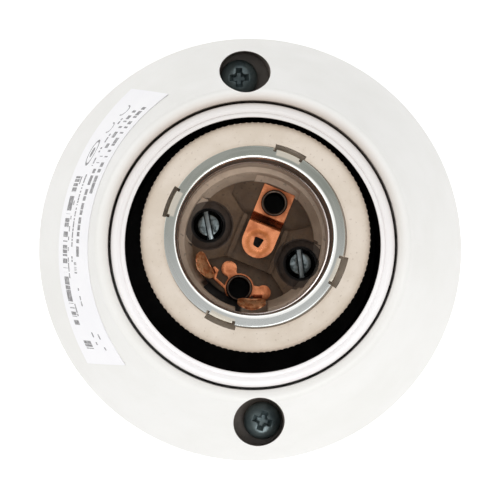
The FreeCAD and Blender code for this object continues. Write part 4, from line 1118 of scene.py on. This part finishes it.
def make_floor():
    """Pale floor that still shows the holder's shadow."""
    floor = primitive("plane", "floor", size=8.0, location=(0, 0, -0.0005))
    material, w, bsdf, place = new_material("pale floor", Base_Color=(0.82, 0.82, 0.82, 1.0), Roughness=0.9,
                                            Specular_IOR_Level=0.1, Emission_Color=(1, 1, 1, 1))
    rays = w.node("LightPath")
    seen = w.math("MAXIMUM", rays.outputs["Is Camera Ray"],
                  w.math("MAXIMUM", rays.outputs["Is Glossy Ray"], rays.outputs["Is Transmission Ray"]))
    w.link(w.times(seen, 0.55), bsdf.inputs["Emission Strength"])
    dress(floor, material)


AMBIENT = 0.76              # light from all round on the holder


def set_world():
    """White backdrop. Shiny parts see a room that is brighter at the sides than overhead."""
    world = bpy.data.worlds.new("studio")
    bpy.context.scene.world = world
    world.use_nodes = True
    w = Wires(world.node_tree)
    background = world.node_tree.nodes["Background"]
    rays = w.node("LightPath")
    background.inputs["Color"].default_value = (1, 1, 1, 1)
    upward = w.split(w.node("TexCoord").outputs["Generated"])[2]
    overhead = w.ramp(upward, 0.7, 0.95, 1.25, 0.92)
    mirrored = w.math("MAXIMUM", rays.outputs["Is Glossy Ray"], rays.outputs["Is Transmission Ray"])
    level = w.math("ADD", AMBIENT, w.times(mirrored, w.math("SUBTRACT", overhead, AMBIENT)))
    seen = rays.outputs["Is Camera Ray"]
    level = w.math("ADD", level, w.times(seen, w.math("SUBTRACT", 1.0, level)))
    w.link(level, background.inputs["Strength"])


def add_lamp(name, place, target, size, power):
    lamp = bpy.data.lights.new(name, "AREA")
    lamp.shape = "DISK"
    lamp.size = size
    lamp.energy = power
    holder = bpy.data.objects.new(name, lamp)
    bpy.context.scene.collection.objects.link(holder)
    holder.location = place
    holder.rotation_euler = (Vector(target) - Vector(place)).to_track_quat("-Z", "Y").to_euler()


CAMERA_PLACE = (-0.00912, -0.01591, 0.632)
CAMERA_TARGET = (-0.00006, -0.00011, 0.0645)
CAMERA_LENS, CAMERA_SENSOR = 230.0, 36.0


def add_camera():
    """Looks straight into the socket, from a little off its axis, with +Y up in the view."""
    lens = bpy.data.cameras.new("camera")
    camera = bpy.data.objects.new("camera", lens)
    bpy.context.scene.collection.objects.link(camera)
    place = Vector(CAMERA_PLACE)
    back = (place - Vector(CAMERA_TARGET)).normalized()
    right = Vector((0, 1, 0)).cross(back).normalized()
    up = back.cross(right)
    turn = Matrix((right, up, back)).transposed()
    camera.matrix_world = Matrix.Translation(place) @ turn.to_4x4()
    lens.sensor_width = CAMERA_SENSOR
    lens.lens = CAMERA_LENS
    lens.clip_start = 0.01
    lens.clip_end = 20.0
    bpy.context.scene.camera = camera


make_floor()
set_world()
add_lamp("key", (0.35, -0.75, 1.25), (0, 0, 0.08), 0.9, 5.6)
add_lamp("fill", (-0.9, 0.5, 0.9), (0, 0, 0.08), 0.9, 2.0)
add_camera()
bpy.context.scene.view_settings.view_transform = "Standard"
